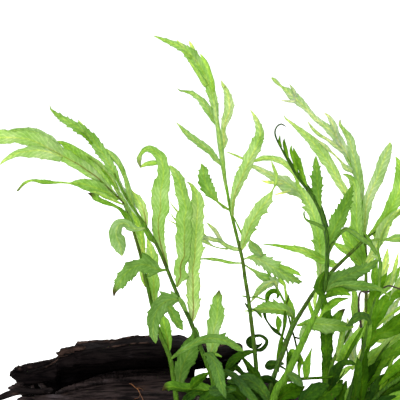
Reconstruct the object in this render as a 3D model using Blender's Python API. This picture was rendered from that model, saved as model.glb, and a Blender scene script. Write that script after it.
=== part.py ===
"""African water fern grown on a piece of driftwood.

The fern's rhizome creeps along a ledge on the front of a low log, and its fronds rise from it in a
loose fan. A bark slab stands behind the log and hangs over it. The object's front is drawn on an
upright sheet, seen from slightly above. Places on that drawing are (across, down) in drawing steps
of half a millimetre, and a third number says how far a place lies behind the sheet, in millimetres.
"""

import math
import random

import bmesh
import bpy
from mathutils import Vector
from mathutils.bvhtree import BVHTree

# Drawing sheet: the size of one drawing step, the drawing's centre and the place of that centre.
MM = 0.001
DRAWING_STEP = 0.5 * MM
DRAWING_CENTRE = 200
EYE_DISTANCE = 1.0
EYE_ELEVATION = math.radians(6)
SHEET_CENTRE = Vector((0.0, 0.016, 0.127))

# Gap between pieces that touch.
FIT_GAP = 0.3 * MM

# Rhizome and roots: a swell is the widest place as a share of the radius.
RHIZOME_RADIUS = 3.2 * MM
RHIZOME_SWELL = 1.08
RHIZOME_RINGS = 18
RHIZOME_SIDES = 7
STUB_RADII = (1.5 * MM, 1.25 * MM, 1.0 * MM)
ROOT_RADIUS = 0.45 * MM
ROOT_RINGS = 9

# Fronds: widths and reaches in drawing steps, bends in radians, staggers in mm.
LEAF_THICKNESS = 0.9 * MM
LEAST_HALF_WIDTH = 0.9
LEAF_BEND_STEP = 0.75
FEWEST_LEAF_STATIONS = 3
MOST_LEAF_STATIONS = 11
STALK_REACH = 3.2
FOOT_STAGGER = 0.11
STALK_SIDES = 5
FEWEST_STALK_RINGS = 6
RING_TURN = 0.3

# Fronds that follow a rule: where their leaflets start and end on the stalk, and how they fill out.
RULE_START = 0.30
RULE_SPAN = 0.64
RULE_FILL = (0.25, 0.85, 1.0, 0.65, 0.05)
RULE_END_FILL = (0.3, 0.9, 0.85, 0.5, 0.05)
RULE_END_STEP = 0.23
RULE_RADII = (1.25, 0.5)

# Wood: half the width of the ledge for the rhizome, its most height as a share of the ridge's
# height, and the wall of the bark slab.
LEDGE_HALF = 5.0 * MM
LEDGE_MOST = 0.66
SLAB_WALL = 6.0 * MM
SLAB_ROUGHNESS = 0.7 * MM
ROOT_SIDES = 7

RIGHT = Vector((1, 0, 0))
UP = Vector((0, math.sin(EYE_ELEVATION), math.cos(EYE_ELEVATION)))
AHEAD = Vector((0, math.cos(EYE_ELEVATION), -math.sin(EYE_ELEVATION)))


def spot(across, down, behind):
    """Place a point of the front drawing on its line of sight, `behind` mm past the sheet."""
    depth = behind * MM
    spread = (1 + depth / EYE_DISTANCE) * DRAWING_STEP
    flat = RIGHT * (across - DRAWING_CENTRE) + UP * (DRAWING_CENTRE - down)
    return SHEET_CENTRE + AHEAD * depth + flat * spread


# Driftwood log, station by station from its left end to its right end:
# (across, down to the ridge, ridge behind, front foot behind, back foot behind).
LOG_STATIONS = (
    (17, 399, -4, -26, 6), (23, 396, -2, -34, 13), (38, 396, 0, -41, 25), (58, 394, 2, -44, 31.4),
    (78, 389, 4, -47, 33.4), (98, 386, 5, -48, 34.3), (118, 383, 6, -48, 34.4),
    (138, 381, 7, -49, 34.4), (158, 379, 7, -50, 34.2), (180, 377, 7, -50, 33),
    (204, 378, 6, -50, 31), (228, 379, 6, -50, 30), (252, 380, 7, -49, 30), (274, 379, 8, -49, 30),
    (289, 387, 8, -48, 29), (308, 392, 8, -47, 28), (330, 395, 7, -45, 26), (354, 399, 6, -44, 25),
    (378, 404, 5, -42, 22), (402, 409, 3, -39, 19), (420, 417, 0, -35, 14), (434, 427, -4, -30, 8),
    (440, 434, -6, -27, 4),
)
# Faces of the log between its ridge, its ledge and its feet: (part of the way out, part of the drop
# still to go). The ledge carries the rhizome.
LOG_UPPER_FACE = ((0.22, 0.94), (0.55, 0.70), (0.84, 0.26))
LOG_LOWER_FACE = ((0.30, 0.86), (0.62, 0.56), (0.90, 0.20))
LOG_BACK = ((0.25, 0.94), (0.55, 0.76), (0.85, 0.42), (0.98, 0.12))

# Bark slab behind the log: (across, down to its top, lip behind, back behind, down to its foot).
# A foot of None stands on the ground.
SLAB_STATIONS = (
    (10, 373, 12, 24, 378), (14, 369, 10, 30, 382), (20, 366, 9, 34, 392), (32, 363, 8, 38, None),
    (46, 360, 8, 41, None), (57, 357, 7, 42, None), (61, 349, 7, 43, None), (76, 344, 6, 43, None),
    (84, 340, 5, 44, None), (110, 339, 4, 45, None), (134, 335.5, 3, 45, None),
    (160, 335, 4, 45, None), (182, 336, 6, 43, 398), (194, 339, 7, 42, 372), (206, 344, 8, 40, 366),
    (222, 344, 9, 37, 366), (233, 343, 12, 33, 364), (241, 345, 16, 28, 356),
)

# Cross-section of the bark slab, from its lip over its top and down its back, then up its hollow
# side: (part of its depth, part of its height, walls further back, walls further up).
SLAB_PROFILE = (
    (0, 1, 0, -1.15), (0, 1, 0, -0.6), (0.14, 1, 0, -0.25), (0.55, 1, 0, 0), (0.8, 0.92, 0, 0),
    (1, 0.6, 0, 0), (1, 0, -0.3, 0), (1, 0, -1.6, 0), (1, 0.42, -1.5, 0), (0.62, 0.66, 0, 0),
    (0.3, 1, 0, -1.5),
)

# Thin root that leaves the log's left end, and its half thickness in drawing steps.
LEFT_ROOT = (
    (52, 390, 3, 2.6), (40, 391.4, 1.5, 3.3), (28, 391.5, 1, 3.6), (18, 391.5, 1, 3.9),
    (9, 394, 1, 3.4), (0, 397.5, 0, 3.2), (-12, 402, 0, 2.8), (-24, 408, 0, 2.3),
    (-33, 415, 1, 1.6), (-39, 425, 2, 0.8),
)

# Rhizome, from its old left end to its growing right end.
RHIZOME_ROUTE = (
    (160, 412, -14), (178, 411, -14), (198, 411, -15), (218, 411, -15), (240, 411, -14),
    (262, 411, -14), (284, 411, -13), (306, 412, -12), (328, 413, -12), (350, 414, -13),
    (368, 416, -14), (386, 419, -14), (400, 421, -15),
)
RHIZOME_STUBS = (
    (188, 412, 1, 398), (200, 412, -2, 397), (232, 412, -3, 396), (247, 412, 2, 395),
    (312, 413, -2, 398), (391, 420, 1, 409),
)

# Roots that run from the rhizome over the log: (across, down, behind) guides, laid on the wood.
ROOT_ROUTES = {
    "root_left": ((158, 414, -13), (151, 412, -12), (144, 400, -6), (137, 390, 0), (129, 380, 4)),
    "root_middle": ((226, 418, -19), (231, 426, -27), (227, 434, -35), (233, 444, -43)),
    "root_right": ((318, 420, -16), (312, 428, -25), (316, 437, -34), (309, 447, -41)),
}

# Fronds. A stalk's points are (across, down, behind). Each leaflet is (how far its tip lies behind
# its foot in mm, how much its blade is turned, its way), and a way's points are (across, down,
# half width) from foot to tip, all widths in drawing steps.
FRONT_LEFT = {
    "stalk": (
        (217, 411, -15), (213, 382, -16), (207, 362, -17), (200, 344, -18), (191.5, 320, -20),
        (180, 299, -21.5), (171.5, 280, -23), (163.5, 260, -24.5), (154, 240, -26),
        (141.5, 220, -27), (126, 197, -28), (113, 171, -29),
    ),
    "radii": (1.3, 0.6),
    "leaflets": (
        (-2, 0.2, ((120, 184, 2), (112, 170, 4), (105, 158, 4.5), (98, 148, 5), (90, 138, 5),
                   (78, 128, 4), (64, 119, 3), (55, 113, 1.6), (50.5, 106, 0.2))),
        (-1, 0.2, ((101, 150, 2), (90, 143, 2.4), (83, 137.5, 1.5), (77, 132, 0.2))),
        (1, -0.2, ((92, 139, 2.2), (87, 131, 2.4), (82, 125, 1.4), (78, 120, 0.2))),
        (-3, 0.3, ((131, 205, 1.5), (128, 195, 3), (125, 184, 3), (122, 174, 3), (117, 164, 3),
                   (110, 156, 0.8))),
        (3, -0.3, ((146, 227, 1.5), (145, 217, 3), (142, 207, 4.5), (138, 200, 4), (131, 189, 0.2))),
        (-6, 0.4, ((145, 228, 1), (138, 229, 2), (131, 227, 4), (124, 223, 4), (118, 226, 5.5),
                   (116, 235, 6.5), (119, 243, 6.8), (121, 250, 5), (122, 256, 0.2))),
        (-5, -0.4, ((167, 270, 1), (160, 270, 2), (154, 268, 6), (147, 265, 7.5), (139, 265, 6),
                    (131, 269, 8), (124, 276, 6.5), (119, 284, 4.5), (114, 297, 0.2))),
        (7, 0.2, ((168, 268, 1.2), (164, 255, 2.8), (160.5, 243, 4.5), (158.5, 230, 5.6),
                  (159, 218, 6), (161, 205, 8.2), (160.5, 190, 7.4), (163.5, 176, 6.5),
                  (160.5, 158, 3.6), (150, 149.5, 2.2), (142, 152, 1.7), (138.5, 161, 1.6),
                  (145, 165.5, 1.8), (158, 163, 1))),
        (-1, -0.3, ((177, 287, 1.5), (180, 276, 5.2), (182, 262, 5.2), (184, 248, 6.8),
                    (184.5, 232, 7.6), (185, 216, 7.4), (184, 202, 6), (181, 188, 5.6),
                    (177, 176, 4.2), (170, 166.5, 0.4))),
        (5, 0.3, ((192, 322, 1.2), (193, 312, 4.4), (193.3, 298, 5.6), (193, 284, 6.5),
                  (193.5, 268, 5.6), (195.5, 250, 6.2), (197, 228, 6.5), (198, 206, 6),
                  (196, 192, 3.6), (187, 182, 0.2))),
        (-6, 0.5, ((180, 299, 1.5), (173, 299, 6), (166, 301, 8), (159, 307, 8.5), (154.5, 317, 7.2),
                   (153, 328, 5.4), (155.7, 343.5, 0.2))),
        (-2, -0.5, ((166, 303, 3), (171, 311, 4.6), (176, 320, 4.4), (180, 326, 3), (183, 330, 0.3))),
        (-4, 0.3, ((178, 296, 1), (182, 303, 2.4), (188, 312, 0.2))),
        (-6, -0.5, ((203, 354, 1), (210, 356, 4.5), (215, 363, 6), (218, 372, 6.7), (220.5, 381, 5.8),
                    (223, 390, 3.6), (226, 398.5, 0.2))),
        (4, 0.4, ((207, 361, 1), (211, 351, 4.5), (213.5, 341, 7), (214, 330, 6.4), (217, 318, 7.4),
                  (218, 307, 5.2), (218.5, 298, 4.4), (219.2, 289.5, 0.2))),
        (-9, 0.5, ((214, 391, 1.5), (205, 390, 5.4), (194, 389, 5.2), (184, 388, 4.6),
                   (172, 387, 4.2), (162, 390.5, 0.3))),
        (-3, -0.5, ((213, 383, 1.2), (204, 378, 3.8), (197, 381, 4.2), (191, 387, 2.5))),
        (-15, 0.3, ((211, 373, 1), (224, 371.5, 2), (234, 376, 3.6), (243, 386, 4.1), (252, 397, 3.5),
                    (261, 409, 0.3))),
        (-7, 0.4, ((216, 400, 1), (206, 397, 2.5), (196, 396, 4), (187, 400, 4.3), (177, 410, 0.3))),
    ),
}
ARCHING_LEFT = {
    "stalk": (
        (178, 411, -13), (174, 382, -11), (171, 362, -10), (167, 350, -10), (158.5, 330, -10),
        (152, 306, -10), (144, 270, -11), (139, 250, -12), (130, 220, -13), (125.5, 205, -13.5),
        (113, 193, -14), (98, 178, -15),
    ),
    "radii": (1.25, 0.6),
    "leaflets": (
        (-5, 0.3, ((104, 184, 1.5), (94, 175, 5), (78, 164, 6.2), (62, 155, 6.6), (44, 145.5, 7.8),
                   (24, 138.5, 6.8), (4, 136.5, 7.2), (-14, 140, 6), (-28, 147, 3.4),
                   (-38, 156, 0.3))),
        (-2, -0.4, ((66, 158, 3), (52, 152.5, 6.6), (38, 150.5, 6.8), (24, 152, 4.4), (10, 157, 2.2),
                    (0, 165, 0.2))),
        (3, 0.4, ((72, 161, 2), (62, 149, 3.2), (50, 139, 3.6), (38, 132, 3.6), (24, 130.5, 2.8),
                  (8, 130.5, 0.3))),
        (3, 0.3, ((124, 202, 1.5), (112, 183, 3), (100, 164, 3.2), (88, 153.5, 2.7), (72, 145, 2.1),
                  (53, 142, 0.3))),
        (1, -0.2, ((116, 196, 2), (104, 181, 5.4), (92, 169, 6.2), (80, 158, 5.4), (62, 145, 0.4))),
        (-5, 0.4, ((121, 201, 1.5), (110, 194, 4.2), (100, 189.5, 6.5), (90, 186, 6), (80, 183.5, 4.2),
                   (70, 183.3, 0.9), (56, 182.5, 1.2), (42, 182, 2), (30, 180.8, 1.2),
                   (16.5, 191, 0.2))),
        (-6, -0.4, ((132, 224, 1.5), (127, 215, 2.4), (121, 208, 1.1), (112, 204, 1.8),
                    (102, 201.5, 2.9), (95, 197.5, 2.9), (87.5, 193, 0.2))),
        (1, 0.2, ((152, 306, 1.3), (154, 293, 4.6), (154, 282, 6.2), (153, 270, 6), (152, 255, 5.8),
                  (149, 243, 2.6), (147, 235, 0.3))),
        (3, -0.3, ((147, 286, 1), (142.5, 272, 3), (142.5, 255, 3.3), (140, 233, 4), (134, 217, 4),
                   (129, 207, 0.3))),
        (2, 0.3, ((168, 353, 1), (168.5, 345, 3), (167, 336, 5), (165, 326, 5), (162.5, 317, 2.6),
                  (162, 311, 0.3))),
        (-22, 0.3, ((170.5, 359.5, 1), (180, 351.5, 2.2), (190, 346, 3.2), (200, 340.5, 3.6),
                    (210, 338.3, 4), (221, 339.5, 4), (232, 344.3, 3.1), (244, 351.5, 0.2))),
        (3, -0.3, ((175, 387, 1.2), (180, 376, 6.4), (183, 365, 8.5), (187.5, 355, 9.3),
                   (191.5, 345, 7.5), (194.5, 336, 5), (196, 326.5, 0.3))),
    ),
}
TALL_MIDDLE = {
    "stalk": (
        (258, 411, -12), (257, 380, -10), (254.5, 352, -9), (251.5, 325, -8), (248, 298, -6),
        (245, 278, -5), (242.5, 260, -4), (236, 233, -1), (230.5, 210, 1), (227, 190, 3),
        (223, 165, 5), (220, 139, 8), (215, 112, 10),
    ),
    "radii": (1.3, 0.6),
    "leaflets": (
        (4, 0.2, ((217, 124, 2), (215, 110, 3.5), (212.5, 98, 4), (209.5, 86, 4.5), (205, 75, 5),
                  (198, 64, 5.4), (190, 54, 5), (180, 46.5, 3.6), (168, 41.5, 2.2), (154, 36, 0.2))),
        (1, 0.2, ((214, 95, 2), (211.5, 80, 2.3), (208.5, 70, 2), (205, 62, 2), (200.5, 54, 0.2))),
        (1, -0.2, ((199, 65, 2), (194, 52, 2), (189, 41, 0.2))),
        (-1, 0.2, ((208, 88, 2.2), (200, 76, 2.6), (194, 67, 2), (189, 59, 0.2))),
        (-3, 0.3, ((217, 126, 1.5), (211.5, 115, 3.6), (206, 106, 4), (200, 98.5, 3), (191, 92.8, 2.2),
                   (183, 91, 1), (177.5, 88, 0.2))),
        (4, -0.4, ((221.5, 151, 1.3), (224, 141, 3.5), (223.3, 130, 2.4), (226, 119, 4),
                   (229, 109, 4.8), (229, 99, 4), (226, 90, 2.4), (221.3, 80.5, 0.2))),
        (-4, 0.4, ((222.5, 165, 1), (215.5, 158.5, 2.5), (208, 150, 3.5), (198, 142.5, 3.6),
                   (188, 134.8, 2.7), (176.5, 122.5, 0.2))),
        (-5, -0.4, ((232, 216, 1), (232.7, 205, 2), (236.5, 189, 4.1), (241, 178, 5.3),
                    (246, 167, 5.3), (251.5, 155.5, 5.4), (257.5, 142, 5.1), (260, 131, 3.8),
                    (256.5, 119, 2), (250.3, 110, 0.2))),
        (-4, 0.3, ((229.5, 209, 1), (222, 205, 1.3), (216.5, 199.5, 2), (209.5, 190.5, 5.4),
                   (205, 180.5, 5.6), (203.5, 171, 3.8), (201, 163.5, 0.2))),
        (-2, -0.3, ((240.5, 249, 1), (244, 241, 4.5), (248, 231, 6.4), (254, 219.5, 7),
                    (261.5, 208, 6.9), (268.5, 198, 4.4), (272.5, 190, 0.8), (276, 180, 1.8),
                    (271.3, 160.5, 0.2))),
        (9, 0.3, ((239.5, 250, 1.2), (229, 247.3, 2.2), (220, 241.5, 2), (208, 238.5, 2.3),
                  (194, 233.5, 2), (178, 225, 1), (168, 219.5, 0.2))),
        (8, -0.2, ((223, 243, 1.4), (218, 235.5, 2.2), (213, 228.5, 1.9), (206, 222, 0.2))),
        (3, 0.3, ((242.5, 262.5, 1), (234, 262.7, 1.3), (222, 260.5, 1.8), (210, 259, 1.5),
                  (196, 259, 0.2))),
        (-7, 0.5, ((242.5, 258.5, 1), (248, 257, 1.2), (257, 256.7, 5), (268, 261.5, 7.2),
                   (278, 267.5, 6.4), (289, 274.7, 4.4), (297, 279.5, 2.8), (303.5, 281.7, 0.2))),
        (-5, -0.4, ((255, 256, 2), (255, 250, 4.6), (251.5, 244, 3.4), (250, 238, 0.3))),
        (-5, 0.3, ((243.5, 264.5, 1), (251, 269, 1.1), (258, 273.8, 2.6), (264, 278.5, 3.4),
                   (272, 283, 0.4))),
        (6, 0.3, ((254.5, 351, 1.3), (262, 350, 1.8), (266.5, 344, 1.6), (264, 337.5, 1.5),
                  (256, 335.3, 1.6), (249, 338.5, 2.6), (249, 345, 2.8), (257, 347, 0.5))),
        (-5, -0.4, ((255, 350, 1), (246, 353.5, 2.8), (237, 358.5, 3.7), (230, 364, 3.4),
                    (225.5, 371.5, 0.3))),
        (3, 0.4, ((258, 388, 1.5), (255, 376, 4.6), (249.5, 367.5, 2.8), (241, 356, 0.5))),
        (1, 0.3, ((249, 309, 0.9), (247, 306, 1.6), (244.5, 302.5, 0.2))),
    ),
}
LEANING_RIGHT = {
    "stalk": (
        (264, 411, -10), (272, 380, -6), (281, 350, -2), (291, 326, 1), (302, 306, 4), (314, 290, 7),
        (329, 272, 10), (348, 253, 14), (366, 238, 18), (385, 223, 22), (402, 211, 25),
        (420, 198, 28), (436, 184, 31), (448, 168, 33),
    ),
    "radii": (1.35, 0.6),
    "leaflets": (
        (4, 0.3, ((442, 176, 2), (449, 163, 4.5), (453, 149, 5), (453, 134, 4.4), (449, 120, 3),
                  (442, 108, 0.3))),
        (-10, 0.5, ((292, 325.5, 1), (303, 324, 3), (312, 323.5, 6.5), (322, 324.5, 7.6),
                   (333, 325.5, 6.4), (344, 326, 4), (354, 327, 0.3))),
        (-3, -0.3, ((304, 326, 2.5), (303, 333, 3), (301, 348, 0.3))),
        (-7, 0.3, ((338, 263.5, 1), (328, 261, 3.8), (316, 256.5, 4.4), (303, 250.3, 3.5),
                   (289, 247.3, 2.4), (275, 245, 1.3), (261, 244.2, 0.2))),
        (3, 0.4, ((367, 237.5, 1.2), (376, 227, 3.5), (384, 215.5, 6), (392, 202, 8.2),
                  (398, 189, 8.8), (401, 176, 6.6), (399, 165, 3.6), (395.3, 156.5, 0.2))),
        (6, -0.4, ((376, 230, 1.2), (383, 230, 4.8), (391, 224, 6), (400, 218, 5.4), (410, 213, 4.4),
                   (421, 212, 3), (434, 215, 0.3))),
        (-5, 0.3, ((364, 241, 1.2), (376, 239.6, 1.2), (386, 240, 1.2), (396, 238.8, 4.4),
                   (406, 239.2, 4.6), (416, 242, 2.4), (424, 246, 0.3))),
        (5, 0.3, ((402, 211, 1.2), (412, 197, 4.6), (418, 182, 6), (421, 166, 5.6), (420, 152, 3.4),
                  (416, 139, 0.3))),
        (-4, -0.4, ((418, 199.5, 1.2), (432, 199, 4.4), (446, 197, 5.4), (460, 198, 4.4),
                    (473, 203, 0.3))),
        (3, 0.4, ((434, 186, 1.2), (447, 181, 4), (460, 174, 5), (472, 165, 3.6), (482, 154, 0.3))),
    ),
}
DARK_FRONT = {
    "stalk": (
        (270, 411, -16), (277, 389, -19), (285, 378, -20), (294, 360, -23), (303, 341, -25),
        (313, 319, -27), (320, 302, -29), (325.5, 280, -31), (327.5, 252, -33), (325, 225, -35),
        (314, 199, -37), (297, 176, -39), (283, 151.5, -41), (275.5, 136, -42), (276, 128, -42.5),
        (281, 124, -43), (286.5, 127, -43.5),
    ),
    "radii": (1.9, 0.3),
    "leaflets": (
        (-1, 0.1, ((281, 147, 1), (279.5, 141, 1.4), (280, 134.5, 0.2))),
        (1, 0.1, ((289, 160, 1.2), (285.8, 149, 2.2), (284.5, 138, 0.2))),
        (-2, 0.2, ((298, 176, 1.2), (293.5, 160, 1.9), (291, 151, 1.5), (291.5, 145.3, 0.2))),
        (1, 0.2, ((306, 187, 1.4), (302.5, 174, 2.6), (298.5, 162, 3), (295.5, 154, 2.2),
                  (293.3, 147.3, 0.2))),
        (-3, 0.4, ((320, 211, 1.3), (319, 197, 3.2), (318, 186, 4.8), (317.5, 174, 4.2),
                   (316.5, 164, 2.4), (316, 156.5, 0.3))),
        (-3, -0.4, ((327.5, 246, 1.2), (331.5, 236, 4.4), (335.5, 226, 7), (340, 216, 7.4),
                    (344, 206, 6), (348, 196, 3.6), (352.3, 184.5, 0.2))),
        (-4, 0.3, ((326, 231.5, 1.2), (317, 224.3, 1.8), (308, 220.5, 1.5), (303.8, 215, 0.9),
                   (305.5, 210, 0.2))),
        (-3, 0.4, ((325.5, 277, 1.2), (319.5, 286, 4), (321, 295, 3.2), (328, 304.5, 0.3))),
        (-6, 0.5, ((324.5, 291, 1.3), (331, 284, 6), (340, 278.8, 7.4), (350, 274.3, 6.6),
                   (361, 270, 4.6), (371, 265, 2.8), (382, 258.5, 0.2))),
        (-9, -0.5, ((323.5, 293, 1), (336, 286, 3.6), (346, 284.3, 3.2), (356, 284.7, 4.3),
                    (368, 285.3, 3.6), (379, 288.3, 1.7), (390.5, 297, 0.2))),
        (3, 0.3, ((327.5, 256, 1.1), (331, 247, 2), (338, 236, 1.6), (345, 229, 1.6), (355, 235, 2),
                  (366, 243.5, 1.8), (378, 257, 0.3))),
        (-5, 0.3, ((271, 404, 1.5), (264, 393, 5), (256.5, 385, 6.2), (248, 380.3, 6), (239, 380, 4),
                   (228, 381.7, 0.6))),
        (-5, 0.4, ((315, 314, 1.2), (318, 327, 1), (322, 313, 1.2), (330, 304.5, 2.6),
                   (337, 300, 1.6), (346, 298.5, 0.2))),
        (-6, -0.4, ((284, 380, 1.2), (293, 381, 3.2), (302, 380.5, 2.4), (318, 378, 0.8))),
    ),
}
SMALL_BEHIND = {
    "stalk": (
        (270, 411, -11.5), (273, 397, -9), (279, 376, -1), (286, 350, 4), (293, 326, 7),
        (287, 308, 7), (280, 295, 7), (273, 283, 7), (265.5, 268, 7),
    ),
    "radii": (0.9, 0.5),
    "leaflets": (
        (-4, 0.4, ((275, 286, 1.2), (268, 283.3, 4.4), (260, 288.5, 3.9), (255, 294.5, 2.4),
                   (250.7, 302.3, 0.2))),
        (-3, 0.4, ((293, 318, 1.2), (287, 310.5, 4), (278, 308.7, 5.3), (268, 307.7, 4.6),
                   (259, 309, 2.4), (243, 311, 0.2))),
        (5, 0.3, ((281, 297, 1.2), (277, 290.3, 2.4), (270, 291, 2.4), (266.5, 297, 2),
                  (265.5, 303, 0.3))),
        (4, -0.3, ((293, 320, 1.2), (291.5, 308, 2.6), (287.5, 298, 2), (285, 289, 0.9),
                   (279, 277, 0.3))),
        (5, 0.2, ((290, 334, 0.9), (281, 336, 0.9), (272, 328, 1), (266, 319, 1.4),
                  (265, 312, 2.4), (263, 305, 0.3))),
        (2, 0.3, ((281, 365, 1), (272, 366, 4.4), (266, 365, 3.2), (263, 363, 0.5))),
    ),
}
PALE_MIDDLE = {
    "stalk": (
        (276, 411, -9), (287, 378, -2), (296, 358, 4), (306, 335, 9), (316, 310, 13), (321, 290, 15),
        (320, 270, 17), (318, 250, 19), (314, 230, 21), (307, 206, 23), (298.5, 187, 24),
    ),
    "radii": (1.1, 0.6),
    "leaflets": (
        (2, 0.3, ((320.5, 284, 1.5), (320, 268, 4.2), (319, 250, 5.4), (316.5, 232, 5.8),
                  (312.5, 215, 5.6), (306, 200, 4.4), (300, 188, 2.4), (296, 177, 0.3))),
        (1, 0.3, ((299, 187, 1.2), (293, 173, 1.9), (284, 163, 2.8), (273, 158.4, 2.7),
                  (262, 158.8, 2.2), (250, 162, 0.3))),
        (-3, -0.4, ((307, 203, 1.5), (299, 192, 4.8), (291, 186, 7.2), (281, 180.5, 6), (271, 175, 3.4),
                    (261, 170, 2.8), (250, 164.5, 0.3))),
        (-2, 0.3, ((284, 184, 3), (272, 182.8, 1.9), (261, 180.4, 0.2))),
        (-2, 0.3, ((297, 192, 3), (286, 192, 1.8), (275, 194.4, 0.2))),
    ),
}
SOFT_BACK = {
    "stalk": (
        (346, 413, -8), (352, 378, 3), (359, 340, 11), (364, 305, 17), (366, 280, 21), (366, 258, 25),
        (364.5, 235, 28), (362.5, 210, 31), (359, 187, 34), (352.5, 167, 36), (343, 149, 38),
    ),
    "radii": (1.2, 0.6),
    "leaflets": (
        (5, 0.3, ((352.5, 168, 2.5), (346, 156, 4.8), (337, 141.5, 5.5), (328, 130, 4.2),
                  (318, 121, 2.7), (309, 111.5, 2.4), (300, 102.5, 4.2), (291, 94.5, 4.4),
                  (282, 87, 1.2), (271.5, 77.5, 0.3))),
        (-1, 0.2, ((299, 101, 2.4), (293.5, 90.5, 1.8), (289.5, 84, 0.2))),
        (1, -0.2, ((299, 102, 2.2), (290, 101.6, 1.5), (281, 100.2, 0.2))),
        (1, 0.3, ((341, 147, 2.5), (335.5, 131, 3.4), (331, 120, 2.4), (324.5, 113, 0.2))),
        (-1, -0.3, ((347, 157, 2), (335, 145.3, 2.3), (320, 135, 1.6), (308, 122, 0.2))),
        (3, 0.4, ((361, 196, 1.5), (359, 178, 4.6), (356.5, 163, 4.8), (352, 145.5, 4),
                  (345, 132, 2.6), (340, 120, 0.4))),
        (-4, -0.4, ((360.5, 200, 1.5), (348, 195, 3), (341, 183.5, 4.6), (333.5, 169.5, 5.7),
                    (326, 157.5, 6.4), (317, 146.5, 5), (306, 135, 3.4), (293, 124, 1.6),
                    (284.3, 115.5, 0.3))),
        (-6, 0.4, ((364.5, 236, 1.3), (366, 217, 3.4), (369, 200, 4.8), (374, 185.5, 6),
                   (380, 171, 5.9), (384.5, 158, 4.8), (389, 147, 2.4), (390, 142.5, 0.3))),
        (-2, 0.3, ((364, 252, 1.2), (359, 237, 4.4), (356.5, 222, 6.4), (356.5, 204, 6.4),
                   (355, 188, 4.8), (344, 176.3, 0.3))),
        (-4, 0.4, ((366, 269, 1.2), (359, 257.5, 4.6), (352, 246, 5.6), (346, 237, 4), (341, 230, 0.4))),
        (-7, -0.4, ((366, 275, 1.2), (357, 262, 3.6), (348, 252, 3.6), (340, 246.5, 2.6),
                    (332, 242, 0.4))),
        (-4, 0.4, ((366, 270, 1.2), (372, 257, 3.6), (377, 245, 4.4), (384, 234, 4.4), (390, 225, 0.5))),
        (3, 0.3, ((364.5, 300, 1), (374, 288, 3), (380, 276, 3.3), (385, 264, 3.1), (387.7, 248.5, 0.2))),
    ),
}
LOWER_RIGHT = {
    "stalk": (
        (328, 413, -11), (327.5, 387, -10), (331, 368, -9), (336, 355, -8), (342, 343, -7),
        (348, 331, -6), (351, 316, -5), (351, 303, -4), (350, 290, -3),
    ),
    "radii": (1.15, 0.5),
    "leaflets": (
        (-5, 0.4, ((327.7, 395, 1.5), (327.5, 380, 4.6), (327.5, 362, 5.6), (327, 344, 6),
                   (326, 327, 5.8), (325, 312, 4.4), (323.5, 300, 0.3))),
        (7, -0.4, ((332, 365, 1), (331, 345, 2), (333, 329, 3.6), (337.5, 317.5, 4.2), (344.7, 309, 0.3))),
        (-2, 0.4, ((336, 355, 1), (338.5, 344, 3), (341, 334, 3.2), (343, 322, 0.3))),
        (1, 0.3, ((351, 322, 1), (354, 311, 3.3), (355.2, 300, 3), (356.5, 291, 0.3))),
        (-6, -0.5, ((336, 355, 1.2), (346, 343, 5.4), (354, 336, 5.4), (361, 331, 3), (367, 326, 0.3))),
        (4, 0.3, ((334, 360, 1.2), (345, 356, 3.6), (354, 347.5, 4.2), (360, 337, 4.2),
                  (363, 325, 3.2), (364.5, 312, 0.3))),
        (-3, 0.4, ((328.5, 380, 1.2), (339, 378, 3.6), (350, 370, 4.8), (360, 362, 4), (370, 352, 0.3))),
    ),
}

# Fronds whose leaflets follow a rule: they fill the right side and the back of the plant.
# (name, stalk, seed, leaflets, longest leaflet, widest half width, spread in degrees)
FILLED_FRONDS = (
    ("frond_right_front", ((345, 413, -14), (352, 382, -19), (360, 352, -23), (368, 322, -26),
                           (376, 296, -28)), 3, 7, 52, 6.0, 34),
    ("frond_right_middle", ((353, 414, -12), (367, 380, -9), (383, 351, -7), (399, 326, -5),
                            (414, 303, -3), (426, 284, -1)), 5, 8, 62, 6.4, 36),
    ("frond_right_low", ((362, 415, -15), (381, 392, -19), (403, 376, -22), (426, 362, -25),
                         (448, 348, -27)), 7, 7, 54, 6.2, 38),
    ("frond_right_back", ((360, 415, -7), (373, 377, 6), (390, 345, 16), (407, 316, 25),
                          (421, 290, 32)), 11, 8, 58, 6.2, 36),
    ("frond_far_right", ((379, 418, -13), (404, 366, -16), (432, 312, -16), (458, 262, -14),
                         (478, 216, -12), (490, 178, -11)), 13, 10, 66, 6.6, 36),
    ("frond_right_arching", ((388, 419, -11), (430, 384, -3), (470, 358, 4), (504, 342, 10),
                             (530, 336, 14)), 17, 8, 56, 6.2, 38),
    ("frond_behind", ((337, 413, -6), (341, 397, -6), (346, 383, -1), (356, 364, 20),
                      (372, 344, 42), (390, 328, 58), (410, 316, 68)), 23, 8, 54, 6.2, 36),
)
DEAD_STALK = (
    (350, 414, -15.5), (353, 385, -15), (357, 355, -15), (359, 325, -16), (359.5, 305, -17),
    (361, 291.5, -17.5), (372, 288.5, -18), (384, 286, -18), (392, 284.3, -18), (410, 292, -19),
)
DEAD_STALK_RADII = (0.9, 0.35)


def clear_scene():
    """Take away whatever the scene holds."""
    for item in list(bpy.data.objects):
        bpy.data.objects.remove(item, do_unlink=True)


def plain_material(name, colour, roughness):
    """Make one matt natural material."""
    material = bpy.data.materials.new(name)
    material.use_nodes = True
    shader = material.node_tree.nodes["Principled BSDF"]
    shader.inputs["Base Color"].default_value = (*colour, 1.0)
    shader.inputs["Roughness"].default_value = roughness
    shader.inputs["Metallic"].default_value = 0.0
    return material


def wet_wood():
    """Near-black waterlogged wood."""
    return plain_material("wet_wood", (0.020, 0.013, 0.011), 0.55)


def rhizome_skin():
    """Dull green and brown skin of the rhizome."""
    return plain_material("rhizome_skin", (0.055, 0.060, 0.018), 0.6)


def root_fibre():
    """Orange brown root threads."""
    return plain_material("root_fibre", (0.150, 0.060, 0.020), 0.7)


def dead_leaf():
    """Dry brown frond stalk."""
    return plain_material("dead_leaf", (0.070, 0.035, 0.018), 0.75)


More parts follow.
